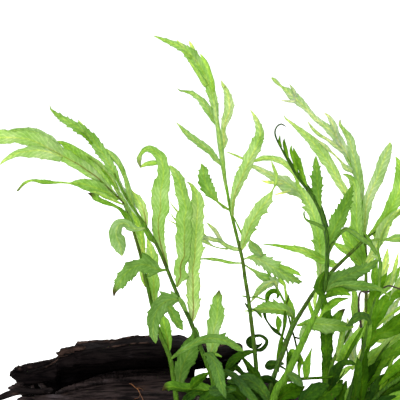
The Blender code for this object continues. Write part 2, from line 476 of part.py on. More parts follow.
def frond_green(name, tone):
    """Leaf green: a tone of 0 is dark and a tone of 1 is pale and yellowish."""
    dark = (0.05, 0.19, 0.012)
    pale = (0.36, 0.62, 0.11)
    colour = [low + (high - low) * tone for low, high in zip(dark, pale)]
    return plain_material(name, colour, 0.45)


def between(first, second, part):
    """Value at a part of the way from the first to the second."""
    return first + (second - first) * part


def smooth_point(points, place):
    """Point on the smooth curve through the points, for a place counted in points."""
    last = len(points) - 1
    index = min(int(place), last - 1)
    part = place - index
    before = points[max(index - 1, 0)]
    start = points[index]
    end = points[index + 1]
    after = points[min(index + 2, last)]
    return tuple(
        b + 0.5 * part * (c - a + part * (2 * a - 5 * b + 4 * c - d + part * (3 * (b - c) + d - a)))
        for a, b, c, d in zip(before, start, end, after)
    )


def resampled(points, count):
    """The same smooth curve with another number of points."""
    last = len(points) - 1
    return [smooth_point(points, last * index / (count - 1)) for index in range(count)]


def loft(body, rings, tip):
    """Carry a closed ring from place to place, and draw it to a point where a tip is given."""
    corners = [body.verts.new(place) for place in rings[0]]
    face = body.faces.new(corners)
    for ring in rings[1:]:
        carried = bmesh.ops.extrude_face_region(body, geom=[face, *face.edges])["geom"]
        face = next(item for item in carried if isinstance(item, bmesh.types.BMFace))
        fresh = []
        for corner, place in zip(corners, ring):
            moved = min(face.verts, key=lambda vert: (vert.co - corner.co).length_squared)
            fresh.append((moved, place))
        for moved, place in fresh:
            moved.co = place
        corners = [moved for moved, place in fresh]
    if tip is not None:
        bmesh.ops.pointmerge(body, verts=list(face.verts), merge_co=tip)


def split_outward(body):
    """Split each bent four-cornered face along the diagonal that lies further out."""
    for face in [face for face in body.faces if len(face.verts) == 4]:
        first, second, third, fourth = face.verts
        bulge = (first.co + third.co - second.co - fourth.co).dot(face.normal)
        if bulge > 0:
            bmesh.utils.face_split(face, first, third)
        else:
            bmesh.utils.face_split(face, second, fourth)


def finished(body, name, material, smooth):
    """Turn a mesh's faces outwards, split them into triangles and put it in the scene."""
    bmesh.ops.recalc_face_normals(body, faces=list(body.faces))
    split_outward(body)
    bmesh.ops.triangulate(body, faces=list(body.faces))
    mesh = bpy.data.meshes.new(name)
    body.to_mesh(mesh)
    body.free()
    if smooth:
        mesh.shade_smooth()
    mesh.materials.append(material)
    item = bpy.data.objects.new(name, mesh)
    bpy.context.scene.collection.objects.link(item)
    return item


def tube_rings(route, radii, sides):
    """Rings of a round tube along a route of places in space."""
    rings = []
    side_way = None
    for index, centre in enumerate(route):
        ahead = (route[min(index + 1, len(route) - 1)] - route[max(index - 1, 0)]).normalized()
        if side_way is None:
            side_way = ahead.cross(AHEAD)
        side_way = (side_way - ahead * side_way.dot(ahead)).normalized()
        other_way = ahead.cross(side_way)
        ring = []
        for step in range(sides):
            turn = 2 * math.pi * (step + RING_TURN) / sides
            ring.append(centre + (side_way * math.cos(turn) + other_way * math.sin(turn)) * radii[index])
        rings.append(ring)
    return rings


def hidden_helper(item):
    """Mark a shape that only cuts or joins, so that it is no piece of its own."""
    item.hide_render = True
    item.display_type = "WIRE"
    return item


def boolean(item, operation, helper):
    """Join a helper to a piece or cut it away from it."""
    step = item.modifiers.new(operation.lower(), "BOOLEAN")
    step.operation = operation
    step.solver = "EXACT"
    step.object = helper
    step.use_self = operation == "UNION"


def nearest_on(way, across, down):
    """Gap from a place of the drawing to a way, and how far behind the sheet the way runs there."""
    found = []
    for start, end in zip(way, way[1:]):
        run = Vector((end[0] - start[0], end[1] - start[1]))
        part = (Vector((across - start[0], down - start[1]))).dot(run) / run.length_squared
        part = min(max(part, 0.0), 1.0)
        side = across - between(start[0], end[0], part)
        rise = down - between(start[1], end[1], part)
        found.append((math.hypot(side, rise), between(start[2], end[2], part)))
    return min(found)


def foot_depth(ways, across, down):
    """Depth at which a leaflet starts: on the stalk where that is near, or on the nearest blade."""
    on_stalk = nearest_on(ways[0], across, down)
    if on_stalk[0] < STALK_REACH or len(ways) == 1:
        return on_stalk[1]
    return min(nearest_on(way, across, down) for way in ways)[1]


def bend_of(way):
    """Sum of the turns of a way, in radians."""
    total = 0.0
    for before, here, after in zip(way, way[1:], way[2:]):
        first = math.atan2(here[1] - before[1], here[0] - before[0])
        second = math.atan2(after[1] - here[1], after[0] - here[0])
        total += abs(math.remainder(second - first, 2 * math.pi))
    return total


def leaflet_way(ways, leaflet):
    """Points of one leaflet, evenly spread: (across, down, behind, half width)."""
    tip_behind, turn, way = leaflet
    foot = foot_depth(ways, way[0][0], way[0][1]) + FOOT_STAGGER * (len(ways) % 4 - 1.5)
    count = FEWEST_LEAF_STATIONS + len(way) // 7 + int(bend_of(way) / LEAF_BEND_STEP)
    count = min(count, MOST_LEAF_STATIONS)
    points = []
    for index, (across, down, half_width) in enumerate(resampled(way, count + 1)):
        behind = foot + tip_behind * math.sin(index / count * math.pi / 2)
        points.append((across, down, behind, half_width))
    return points


def leaflet_rings(points, turn):
    """Three-cornered rings of one leaflet, with a ridge on its upper side, and its tip."""
    places = [spot(*point[:3]) for point in points]
    rings = []
    for index in range(len(points) - 1):
        centre = places[index]
        ahead = (places[index + 1] - places[max(index - 1, 0)]).normalized()
        out = (ahead.cross(AHEAD) + AHEAD * turn).normalized()
        width = max(points[index][3], LEAST_HALF_WIDTH) * DRAWING_STEP
        lift = ahead.cross(out).normalized() * LEAF_THICKNESS
        rings.append([centre + out * width, centre + lift, centre - out * width])
    return rings, places[-1]


def stalk_route(stalk, count):
    """Places in space along a stalk."""
    return [spot(*point) for point in resampled(stalk, count)]


def make_frond(name, stalk, radii, leaflets, material, clearance):
    """Make one frond: a tapering stalk with its leaflets grown on it, cut clear of the rhizome."""
    count = max(FEWEST_STALK_RINGS, len(stalk))
    route = stalk_route(stalk, count)
    thickness = [between(radii[0], radii[1], index / (count - 1)) * MM for index in range(count)]
    body = bmesh.new()
    loft(body, tube_rings(route, thickness, STALK_SIDES), None)
    frond = finished(body, name, material, True)
    if leaflets:
        blades = bmesh.new()
        ways = [stalk]
        for leaflet in leaflets:
            points = leaflet_way(ways, leaflet)
            rings, tip = leaflet_rings(points, leaflet[1])
            loft(blades, rings, tip)
            ways.append(points)
        boolean(frond, "UNION", hidden_helper(finished(blades, name + "_blades", material, False)))
    boolean(frond, "DIFFERENCE", clearance)
    return frond


def rule_leaflets(stalk, seed, count, longest, widest, spread):
    """Leaflets on both sides of a stalk, short near its foot and its tip, and one at its end."""
    luck = random.Random(seed)
    last = len(stalk) - 1
    leaflets = []
    for index in range(count):
        part = RULE_START + RULE_SPAN * index / (count - 1)
        side = 1 if index % 2 else -1
        across, down, behind = smooth_point(stalk, last * part)
        past = smooth_point(stalk, min(last * part + 0.1, last))
        heading = math.atan2(down - past[1], past[0] - across)
        size = 0.62 + 0.38 * math.sin(math.pi * min(part * 1.05, 1.0))
        length = longest * size * luck.uniform(0.85, 1.1)
        width = widest * size * luck.uniform(0.85, 1.1)
        lean = side * math.radians(spread * luck.uniform(0.8, 1.2))
        bend = -lean * luck.uniform(0.3, 0.9)
        way = []
        for step, fill in enumerate(RULE_FILL):
            way.append((across, down, width * fill))
            turn = heading + lean + bend * step / 4
            across += math.cos(turn) * length / 4
            down -= math.sin(turn) * length / 4
        tip_behind = luck.uniform(-5, 5)
        leaflets.append((tip_behind, luck.uniform(-0.5, 0.5), tuple(way)))
    across, down, behind = smooth_point(stalk, last * 0.93)
    end = stalk[-1]
    heading = math.atan2(down - end[1], end[0] - across)
    way = []
    for fill in RULE_END_FILL:
        way.append((across, down, widest * fill))
        across += math.cos(heading) * longest * RULE_END_STEP
        down -= math.sin(heading) * longest * RULE_END_STEP
        heading += luck.uniform(-0.12, 0.22)
    leaflets.append((luck.uniform(-4, 4), 0.2, tuple(way)))
    return leaflets


def ground_place(across, behind):
    """Place on the ground in a drawing column, under the point that lies as far behind the sheet."""
    above = spot(across, DRAWING_CENTRE, behind)
    return Vector((above.x, above.y - SHEET_CENTRE.z * math.sin(EYE_ELEVATION), 0.0))


def ledge_place(across, crest):
    """Middle of the ledge that carries the rhizome, at one station of the log."""
    first = RHIZOME_ROUTE[0]
    last = RHIZOME_ROUTE[-1]
    here = min(max(across, first[0]), last[0])
    after = next(index for index, point in enumerate(RHIZOME_ROUTE) if point[0] >= here)
    start = RHIZOME_ROUTE[max(after - 1, 0)]
    end = RHIZOME_ROUTE[max(after, 1)]
    part = (here - start[0]) / (end[0] - start[0])
    middle = spot(here, between(start[1], end[1], part), between(start[2], end[2], part))
    height = middle.z - RHIZOME_RADIUS * RHIZOME_SWELL - FIT_GAP
    return Vector((crest.x, middle.y, min(height, crest.z * LEDGE_MOST)))


def face_between(start, end, profile):
    """Points of one face of the log, between two places at the same station."""
    return [
        Vector((start.x, between(start.y, end.y, out), end.z + (start.z - end.z) * high))
        for out, high in profile
    ]


def log_ring(station):
    """One cross-section of the log: flat underside, ledged front, ridge and rounded back."""
    across, down, ridge, front, back = station
    crest = spot(across, down, ridge)
    ledge = ledge_place(across, crest)
    ledge_back = ledge + Vector((0, LEDGE_HALF, 0))
    ledge_front = ledge - Vector((0, LEDGE_HALF, 0))
    front_foot = Vector((crest.x, ground_place(across, front).y, 0.0))
    back_foot = Vector((crest.x, ground_place(across, back).y, 0.0))
    ring = [crest] + face_between(crest, ledge_back, LOG_UPPER_FACE) + [ledge_back, ledge_front]
    ring += face_between(ledge_front, front_foot, LOG_LOWER_FACE) + [front_foot, back_foot]
    return ring + face_between(crest, back_foot, LOG_BACK)[::-1]


def make_log():
    """Long low log with a flat underside."""
    body = bmesh.new()
    loft(body, [log_ring(station) for station in LOG_STATIONS], None)
    return finished(body, "driftwood_log", wet_wood(), False)


def slab_ring(station, luck):
    """One cross-section of the bark slab: a wall that curls forward at its top like a breaking wave."""
    across, top, lip, back, foot = station
    high = spot(across, top, between(lip, back, 0.5))
    lip_y = ground_place(across, lip).y
    back_y = ground_place(across, back).y
    low = 0.0 if foot is None else spot(across, foot, back).z
    rise = high.z - low
    wall = min(SLAB_WALL, rise * 0.3)
    ring = []
    for out, up, walls_back, walls_up in SLAB_PROFILE:
        place = Vector((high.x, between(lip_y, back_y, out), low + rise * up))
        place += Vector((0, walls_back, walls_up)) * wall
        if 0.1 < up < 1 or walls_up:
            place.z += luck.uniform(-SLAB_ROUGHNESS, SLAB_ROUGHNESS)
        ring.append(place)
    return ring


def make_slab():
    """Bark slab that stands on its lower edge behind the log."""
    luck = random.Random(9)
    body = bmesh.new()
    loft(body, [slab_ring(station, luck) for station in SLAB_STATIONS], None)
    return finished(body, "driftwood_bark_slab", wet_wood(), False)


def make_left_root():
    """Thin crooked root at the log's left end."""
    points = resampled(LEFT_ROOT, len(LEFT_ROOT) + 2)
    route = [spot(*point[:3]) for point in points]
    radii = [point[3] * DRAWING_STEP for point in points]
    body = bmesh.new()
    loft(body, tube_rings(route, radii, ROOT_SIDES), None)
    return finished(body, "driftwood_left_root", wet_wood(), False)


def make_rhizome():
    """Creeping rhizome with the stubs of old fronds, and a wider copy that keeps its fronds clear."""
    count = RHIZOME_RINGS
    route = stalk_route(RHIZOME_ROUTE, count)
    luck = random.Random(2)
    radii = [RHIZOME_RADIUS * luck.uniform(0.9, RHIZOME_SWELL) for index in range(count)]
    radii[0] = RHIZOME_RADIUS * 0.5
    radii[-1] = RHIZOME_RADIUS * 0.4
    body = bmesh.new()
    loft(body, tube_rings(route, radii, RHIZOME_SIDES), None)
    rhizome = finished(body, "rhizome", rhizome_skin(), True)
    stubs = bmesh.new()
    for across, low, lean, top in RHIZOME_STUBS:
        depth = nearest_on(RHIZOME_ROUTE, across, low)[1]
        foot = spot(across, low, depth)
        head = spot(across + lean, top, depth - lean)
        middle = foot.lerp(head, 0.6)
        loft(stubs, tube_rings([foot, middle, head], STUB_RADII, STALK_SIDES), None)
    boolean(rhizome, "UNION", hidden_helper(finished(stubs, "rhizome_stubs", rhizome_skin(), False)))
    wide = bmesh.new()
    loft(wide, tube_rings(route, [radius + FIT_GAP for radius in radii], RHIZOME_SIDES), None)
    clearance = hidden_helper(finished(wide, "rhizome_clearance", rhizome_skin(), False))
    return rhizome, clearance


def make_roots(log):
    """Thread-like roots laid on the log's surface."""
    surface = BVHTree.FromObject(log, bpy.context.evaluated_depsgraph_get())
    for name, guides in ROOT_ROUTES.items():
        route = []
        for point in resampled(guides, ROOT_RINGS):
            place, normal, index, distance = surface.find_nearest(spot(*point))
            route.append(place + normal * (ROOT_RADIUS + 2 * FIT_GAP))
        radii = [ROOT_RADIUS * (1 - 0.05 * index) for index in range(ROOT_RINGS)]
        body = bmesh.new()
        loft(body, tube_rings(route, radii, STALK_SIDES), None)
        finished(body, name, root_fibre(), True)


def make_fronds(clearance):
    """All fronds, each one piece."""
    drawn = (
        ("frond_front_left", FRONT_LEFT, 0.35), ("frond_arching_left", ARCHING_LEFT, 0.8),
        ("frond_tall_middle", TALL_MIDDLE, 0.65), ("frond_leaning_right", LEANING_RIGHT, 0.75),
        ("frond_dark_front", DARK_FRONT, 0.1), ("frond_small_behind", SMALL_BEHIND, 0.45),
        ("frond_pale_middle", PALE_MIDDLE, 0.85), ("frond_soft_back", SOFT_BACK, 0.9),
        ("frond_lower_right", LOWER_RIGHT, 0.4),
    )
    for name, frond, tone in drawn:
        material = frond_green(name + "_green", tone)
        make_frond(name, frond["stalk"], frond["radii"], frond["leaflets"], material, clearance)
    for name, stalk, seed, count, longest, widest, spread in FILLED_FRONDS:
        leaflets = rule_leaflets(stalk, seed, count, longest, widest, spread)
        material = frond_green(name + "_green", 0.3 + 0.03 * seed)
        make_frond(name, stalk, RULE_RADII, leaflets, material, clearance)
    make_frond("frond_dead_stalk", DEAD_STALK, DEAD_STALK_RADII, (), dead_leaf(), clearance)


clear_scene()
driftwood_log = make_log()
make_slab()
make_left_root()
fern_rhizome, rhizome_clearance = make_rhizome()
bpy.context.view_layer.update()
make_roots(driftwood_log)
make_fronds(rhizome_clearance)
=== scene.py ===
"""Looks of an African water fern grown on a piece of driftwood.

The fern's front is drawn on an upright sheet seen from slightly above, in steps of half a millimetre:
a place is (across, down), and a third number says how far it lies behind the sheet, in millimetres.
"""

import math
import random

import bmesh
import bpy
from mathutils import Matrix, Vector, noise
from mathutils.bvhtree import BVHTree


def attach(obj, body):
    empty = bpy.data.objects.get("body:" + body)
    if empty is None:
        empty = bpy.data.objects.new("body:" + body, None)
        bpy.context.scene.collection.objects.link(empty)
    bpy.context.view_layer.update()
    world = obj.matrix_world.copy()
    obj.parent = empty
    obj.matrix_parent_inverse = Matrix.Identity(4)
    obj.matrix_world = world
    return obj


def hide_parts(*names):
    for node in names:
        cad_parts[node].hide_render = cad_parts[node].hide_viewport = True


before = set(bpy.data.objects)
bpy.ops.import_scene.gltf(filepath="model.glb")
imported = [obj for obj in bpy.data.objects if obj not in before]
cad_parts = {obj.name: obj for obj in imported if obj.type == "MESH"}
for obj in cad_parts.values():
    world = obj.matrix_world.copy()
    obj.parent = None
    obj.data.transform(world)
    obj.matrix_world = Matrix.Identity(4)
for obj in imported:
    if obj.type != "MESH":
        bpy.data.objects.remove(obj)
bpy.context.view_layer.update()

# Drawing sheet: the size of one drawing step, the drawing's centre and the place of that centre.
MM = 0.001
DRAWING_STEP = 0.5 * MM
DRAWING_CENTRE = 200
EYE_DISTANCE = 1.0
EYE_ELEVATION = math.radians(6)
SHEET_CENTRE = Vector((0.0, 0.016, 0.127))
RIGHT = Vector((1, 0, 0))
UP = Vector((0, math.sin(EYE_ELEVATION), math.cos(EYE_ELEVATION)))
AHEAD = Vector((0, math.cos(EYE_ELEVATION), -math.sin(EYE_ELEVATION)))

# Blades: thickness, spacing of their rows in drawing steps, and their columns across as parts of the
# half width. A narrow blade has fewer columns.
BLADE_THICKNESS = 0.26 * MM
BLADE_STEP = 1.1
BLADE_COLUMNS = (-1.0, -0.72, -0.4, -0.1, 0.0, 0.1, 0.4, 0.72, 1.0)
NARROW_COLUMNS = (-1.0, -0.45, 0.0, 0.45, 1.0)
NARROW_BLADE = 2.6
RIB_HEIGHT = 0.22 * MM
TOOTH_RISE = 3.0
TOOTH_FALL = 1.1
STALK_STEP = 3.0
STALK_SIDES = 10
STALK_REACH = 3.2

# Finishes of a blade: (pale, bluish underside and sheen, dry tip, brown rib), each from 0 to 1.
# Pale is partly the leaf's own green and partly painted light and shade: blades low in the plant
# and in curls are painted darker, high blades are painted lighter as if lit through. The bluish part
# is partly the grey-blue of undersides and partly a painted bluish sheen on curled blades.
PALE = (0.9, 0.15, 0.0, 0.1)
PALE_RIBBED = (0.80, 0.05, 0.1, 0.9)
SOFT = (0.9, 0.9, 0.0, 0.0)
FRESH = (0.68, 0.1, 0.05, 0.2)
FRESH_RIBBED = (0.66, 0.15, 0.1, 0.8)
MID = (0.48, 0.15, 0.1, 0.2)
DEEP = (0.15, 0.1, 0.1, 0.15)
DARKEST = (0.04, 0.15, 0.2, 0.1)
DUSKY = (0.72, 0.9, 0.05, 0.0)
DUSKY_MID = (0.45, 0.7, 0.1, 0.1)
DUSKY_DEEP = (0.2, 0.6, 0.15, 0.1)

# Fronds. A stalk's points are (across, down, behind), with radii at its foot and tip in mm. "skin"
# gives (part of the length, brightness of the green, brown) along the stalk. A blade is (finish, how
# far its tip lies behind its foot in mm, its turn, the height of its teeth, its way, single teeth),
# and a way's points are (across, down, half width) from foot to tip.
FRONT_LEFT_BLADES = (
    ((0.62, 0.6, 0.1, 0.1), -2, 0.2, 1, ((118, 180, 2), (112.5, 170, 4), (106, 158, 4.5), (99, 148, 4.8),
     (91.5, 138, 4.6), (83, 131, 4.5), (74, 125, 4), (64, 119, 3), (56, 114, 2), (51, 109, 0.7),
     (50, 105, 0.1)), ((60, 113), (68, 117), (61, 120), (68, 126))),
    (MID, -1, 0.2, 0.4, ((92, 144, 1), (85, 136.5, 1.2), (78, 130.5, 0.2))),
    (FRESH, 1, -0.2, 0.4, ((88, 136, 2), (83, 127, 1.5), (78, 120, 0.1))),
    ((0.62, 0.8, 0.05, 0.2), -3, 0.3, 0.4, ((133, 206, 1.5), (129.5, 195, 3), (127, 184, 2.2),
     (124, 174, 2), (119, 164, 2.4), (112, 155.5, 2.6), (106, 149, 0.5))),
    (PALE_RIBBED, 3, -0.3, 0.5, ((146, 227, 1.5), (145, 217, 3), (142, 207, 4.5), (138, 200, 4),
     (133, 193, 1.5), (131, 189, 0.1))),
    ((0.64, 1, 0.05, 0), -6, 0.4, 0.4, ((145, 228, 0.8), (138, 229, 2), (131, 227, 4), (124, 223, 4),
     (118, 226, 5.5), (116, 235, 6.5), (119, 243, 6.8), (121, 250, 5), (122, 256, 0.1))),
    ((0.5, 0.9, 1, 0.1), -5, -0.4, 0.8, ((167, 270, 1), (160, 270, 2), (154, 268, 6), (147, 265, 7.5),
     (139, 265, 6), (131, 269, 8), (124, 276, 6.5), (119, 284, 4.5), (115, 290, 2.5), (114, 297, 0.1)),
     ((145, 253.5), (125, 262.5), (114, 280), (150, 278), (133, 280), (129, 281), (122, 288))),
    ((0.73, 0.4, 0.5, 0.9), 7, 0.2, 0.6, ((168, 268, 1), (164, 255, 2.8), (160.5, 243, 4.8),
     (158.5, 230, 6.2), (158.5, 220, 6.4), (160.5, 210, 8.3), (160.5, 200, 8.4), (161, 190, 8.2),
     (163, 181, 7.8), (163.5, 170, 5.8), (160.5, 157.5, 5), (150, 148.5, 3.4), (142, 152, 1.9),
     (139, 160, 2.2), (140.5, 167, 0.8))),
    (FRESH, 1, 0.2, 0.3, ((140, 167.5, 0.5), (146, 164, 2), (153, 163, 2.4), (159, 163, 1.5),
     (163, 163.5, 0.5))),
    ((0.36, 0.5, 0.05, 0.1), -1, 0.1, 0.3, ((154, 243, 0.4), (150, 238, 2), (146, 230, 2.4),
     (143, 223, 2.2), (138, 215, 0.8))),
    ((0.86, 0.9, 0.05, 0), 1, 0.1, 0.3, ((139, 217, 0.6), (134, 209, 2.4), (128, 199, 2.8),
     (122, 189, 2.4), (117, 179, 1.8), (113, 171, 0.6))),
    ((0.66, 0.4, 0.1, 0.9), -1, -0.3, 0.8, ((177, 287, 1), (178.5, 281, 3.2), (180.5, 276, 5.5),
     (180, 270, 5), (181, 263, 5.5), (184, 256, 5.8), (184, 250, 6.8), (184, 240, 8), (184.5, 230, 7.5),
     (184, 220, 7.5), (186, 210, 7), (184, 200, 6), (181.5, 190, 6), (179, 180, 4.5), (174.5, 172, 3.5),
     (171, 167, 1.5), (169.5, 165.5, 0.2)), ((176, 261), (188, 279))),
    ((0.8, 0.15, 0.5, 0.9), 5, 0.3, 0.7, ((192, 322, 0.8), (193, 315, 3.2), (193.5, 305, 6),
     (193, 297, 5.5), (193.3, 285, 6.5), (193, 270, 5.3), (195, 258, 6.5), (195.5, 245, 6),
     (196.5, 230, 6.5), (197.5, 215, 6), (198, 205, 6), (197, 197, 5), (194, 189, 2.5), (190, 184, 1),
     (187, 182, 0.3)), ((201, 299), (200, 274), (204, 248), (204.5, 225), (205, 206), (185.5, 296))),
    ((0.46, 1, 0.1, 0.1), -6, 0.5, 0.6, ((179, 300, 2), (173, 299, 6), (166, 301, 8), (159, 307, 8.5),
     (155, 315, 7.5), (153, 324, 6), (153, 333, 4.5), (155, 340, 2.5), (155.7, 343.5, 0.1)), ((171.5, 290),
     (160.5, 291), (146.5, 311.5))),
    ((0.38, 0.8, 0.05, 0.2), -2, -0.5, 0.7, ((168, 306, 3), (172, 312, 4), (176, 320, 4.5), (180, 326, 3),
     (183, 330, 0.2)), ((178.5, 312), (182, 321))),
    ((0.46, 1, 0.1, 0.1), -4, 0.3, 0.3, ((178, 296, 1), (182, 303, 2.5), (185, 309, 2), (188, 312, 0.3))),
    ((0.28, 1, 0.1, 0.1), -19, -0.5, 0.6, ((202, 355, 0.8), (207, 354, 2), (211, 356, 5), (215, 363, 6),
     (218, 371, 6.7), (220, 379, 6.2), (222.5, 388, 4), (225, 395, 2), (226, 398.5, 0.2))),
    (DUSKY_MID, -5, 0.2, 0.2, ((212, 354, 2), (216, 350.5, 1.2), (218, 346.5, 0.1))),
    (DUSKY_MID, -7, -0.2, 0.2, ((214, 354, 2), (218, 355, 1.3), (222, 356.8, 0.1))),
    ((0.68, 0.5, 0.8, 0.3), 4, 0.4, 0.6, ((207, 360, 0.8), (210, 354, 3), (212, 349, 5), (213.5, 342, 7),
     (213.5, 335, 6), (214.5, 328, 6.3), (217, 320, 7), (217.5, 312, 7.5), (218, 306, 5), (218, 299, 4.9),
     (219, 294, 2.8), (219.2, 289.5, 0.1)), ((211, 306), (209, 322), (225, 309), (225, 316))),
    ((0.34, 0.3, 1, 0.2), -6, 0.5, 0.7, ((215, 391, 2), (205, 390, 5.5), (194, 389, 5), (184, 388.5, 4.5),
     (175, 387, 4.8), (168, 387, 3.8), (162, 390.5, 0.3))),
    (DUSKY_DEEP, 5, 0.2, 0.5, ((236, 389, 1.5), (226, 389.5, 4), (216, 390, 5.5), (209, 390, 3))),
    ((0.18, 0.1, 0.1, 0.1), -4, -0.5, 0.8, ((190, 388, 2), (194, 384, 4), (199, 379.5, 4.3), (204, 376, 3),
     (209, 372.5, 0.4))),
    ((0.1, 0.6, 0.15, 0.1), -15, 0.3, 0.4, ((211, 373, 0.8), (217, 371.5, 1), (223, 371.5, 1.8),
     (228, 372.5, 2.5), (234, 376, 3.5), (240, 383, 4), (246, 390, 4), (252, 397, 3.5), (258, 405, 2),
     (262, 412, 0.1))),
    (DARKEST, -7, 0.4, 0.5, ((212, 401, 1), (204, 395, 2.5), (196, 392, 3), (188, 397, 4), (182, 405, 4),
     (176, 413, 0.2))),
    (DARKEST, 4, 0.3, 0.5, ((197, 410, 2), (206, 400, 6), (217, 396, 6.5), (229, 397, 4),
     (238, 401, 0.4))),
    (DARKEST, 3, -0.3, 0.5, ((214, 398, 1), (222, 392, 4), (231, 388, 5), (241, 386, 4), (250, 388, 1.5),
     (255, 391, 0.2))),
)
FRONT_LEFT = {
    "stalk": (
        (217, 411, -15), (213, 382, -16), (206.5, 362, -17), (199, 344, -18), (190, 320, -20),
        (179.5, 299, -21.5), (171.5, 280, -23), (163.5, 260, -24.5), (154, 240, -26), (141.5, 220, -27),
        (126, 197, -28), (113, 171, -29),
    ),
    "radii": (1.35, 0.55),
    "skin": ((0, 0.4, 0.15), (0.35, 0.24, 0.15), (0.6, 0.22, 0.35), (0.8, 0.4, 0.2), (1, 0.5, 0.3)),
    "blades": FRONT_LEFT_BLADES,
}
ARCHING_LEFT_BLADES = (
    ((0.76, 0.35, 0.1, 0.9), -5, 0.3, 0.4, ((116, 196, 1.5), (108, 188, 2.5), (98, 178, 4), (88, 171, 5.5),
     (78, 164, 6), (68, 158.5, 6.5), (58, 153, 6.5), (48, 147.5, 8), (38, 142.5, 8), (28, 139, 7),
     (18, 137.8, 6), (8, 137.4, 6.3), (0, 137.6, 7.2), (-12, 139, 6.5), (-24, 143, 4), (-34, 149, 1),
     (-38, 153, 0.1))),
    ((0.82, 0.45, 0, 0), -2, -0.4, 0.3, ((62, 157, 5), (50, 152.5, 7), (38, 150.5, 7), (28, 151.5, 5),
     (18, 153, 3.5), (9, 157.5, 2.2), (3, 161.5, 1.2), (0, 165, 0.2))),
    (DUSKY, 3, 0.4, 0.3, ((62, 150, 2), (54, 142.8, 3), (45, 136.6, 3.4), (35, 132.4, 3.4), (25, 131, 2.8),
     (15, 131, 2.2), (8, 131, 0.4))),
    ((0.7, 0.4, 0.2, 0.1), 3, 0.3, 0.3, ((120, 196, 1.5), (112, 178, 2.2), (100, 165, 2.4),
     (89.5, 157.3, 2.3), (79.5, 151, 2), (69.5, 145.5, 1.9), (60, 142.5, 1.6), (53, 142, 0.3))),
    (MID, 2, -0.3, 0.5, ((118, 190, 2), (108, 176, 3), (98, 166, 3), (88, 159, 2.5), (80, 155.5, 1.5),
     (76, 154, 0.2))),
    ((0.68, 0, 0.05, 0.2), 1, -0.2, 0.4, ((112, 192, 2), (104, 182, 5), (95, 172, 6), (85, 163, 6),
     (76, 155, 5), (68, 148.5, 3), (62, 145, 0.3))),
    ((0.6, 0.45, 0.6, 0.1), -5, 0.4, 0.4, ((119, 199, 1.5), (110, 194, 4), (100, 189, 6.5), (92, 186.5, 6),
     (84, 184, 5), (76, 183, 3), (70, 183.3, 0.8), (62, 182.5, 0.8), (55, 182.5, 1.2), (48, 182.3, 1.8),
     (42, 182, 2), (36, 180.5, 1.5), (30, 180.7, 1), (25, 183, 1.2), (21, 186.5, 1), (18, 190, 0.8),
     (16.5, 191, 0.2))),
    ((0.75, 0.15, 0.1, 0.2), -4, 0.3, 0.3, ((123, 204.5, 0.5), (113, 200, 1.6), (106, 196.8, 2),
     (99, 193.5, 1.6), (93, 191, 0.3))),
    (DUSKY, -2, 0.3, 0.3, ((138, 240, 0.8), (131, 219, 2), (126.5, 206, 2.6), (121.5, 197, 2.4),
     (114, 188, 0.6))),
    ((0.56, 0.2, 1, 0.2), -6, -0.4, 0.4, ((133, 226, 1.5), (126.5, 217, 3), (121, 210, 1.8),
     (115, 206.2, 1.5), (109, 204, 2.3), (102, 201.5, 2.8), (96, 198.3, 3), (92, 195, 2),
     (87.5, 193, 0.2))),
    ((0.77, 0.3, 0.1, 0.5), 1, 0.2, 0.6, ((155, 306, 2), (154, 295, 4), (154, 283, 6.3), (153, 272, 6),
     (152.5, 260, 6.5), (151, 250, 4.5), (149, 243, 2), (147, 237, 0.3))),
    (PALE_RIBBED, 3, -0.3, 0.5, ((146, 287, 1), (143, 275, 3), (143, 262, 3), (142.5, 250, 3.2),
     (141.5, 238, 3.5), (138, 226, 4.5), (134, 217, 4), (129.5, 208, 0.4))),
    (FRESH_RIBBED, 2, 0.3, 0.6, ((168.5, 353, 1), (168.5, 346, 2.5), (167.5, 338, 4.5), (165.5, 330, 5.3),
     (164, 322, 4.3), (162.5, 316, 2), (162, 311.5, 0.2)), ((171.5, 330.5),)),
    ((0.45, 0.9, 0.1, 0.1), -22, 0.3, 0.6, ((170.5, 359.5, 0.8), (175, 355.7, 1.4), (181, 351, 2.3),
     (190, 346, 3.2), (200, 340.5, 3.6), (210, 338.3, 4), (220, 339.3, 4), (228, 341.7, 3.2),
     (235, 346.2, 3), (240, 349.3, 1.8), (244, 351.5, 0.2)), ((225, 332.5), (228, 337))),
    ((0.43, 0.8, 0.1, 0.3), 3, -0.3, 0.7, ((176, 386, 0.6), (179, 384, 3), (180, 377, 5.4),
     (182.5, 366, 7.6), (187.5, 355, 8.9), (191.5, 345, 7.5), (195, 337, 5.5), (196, 326.5, 0.1)),
     ((174, 362), (194.5, 363.5), (198.5, 351))),
)
ARCHING_LEFT = {
    "stalk": (
        (178, 411, -13), (174, 382, -11), (171, 362, -10), (167, 350, -10), (158.5, 330, -10),
        (152, 306, -10), (144, 270, -11), (139, 250, -12), (130, 220, -13), (125.5, 205, -13.5),
        (113, 193, -14), (98, 178, -15),
    ),
    "radii": (1.35, 0.5),
    "skin": ((0, 0.4, 0.3), (0.5, 0.38, 0.3), (0.8, 0.4, 0.6), (1, 0.6, 0.5)),
    "blades": ARCHING_LEFT_BLADES,
}
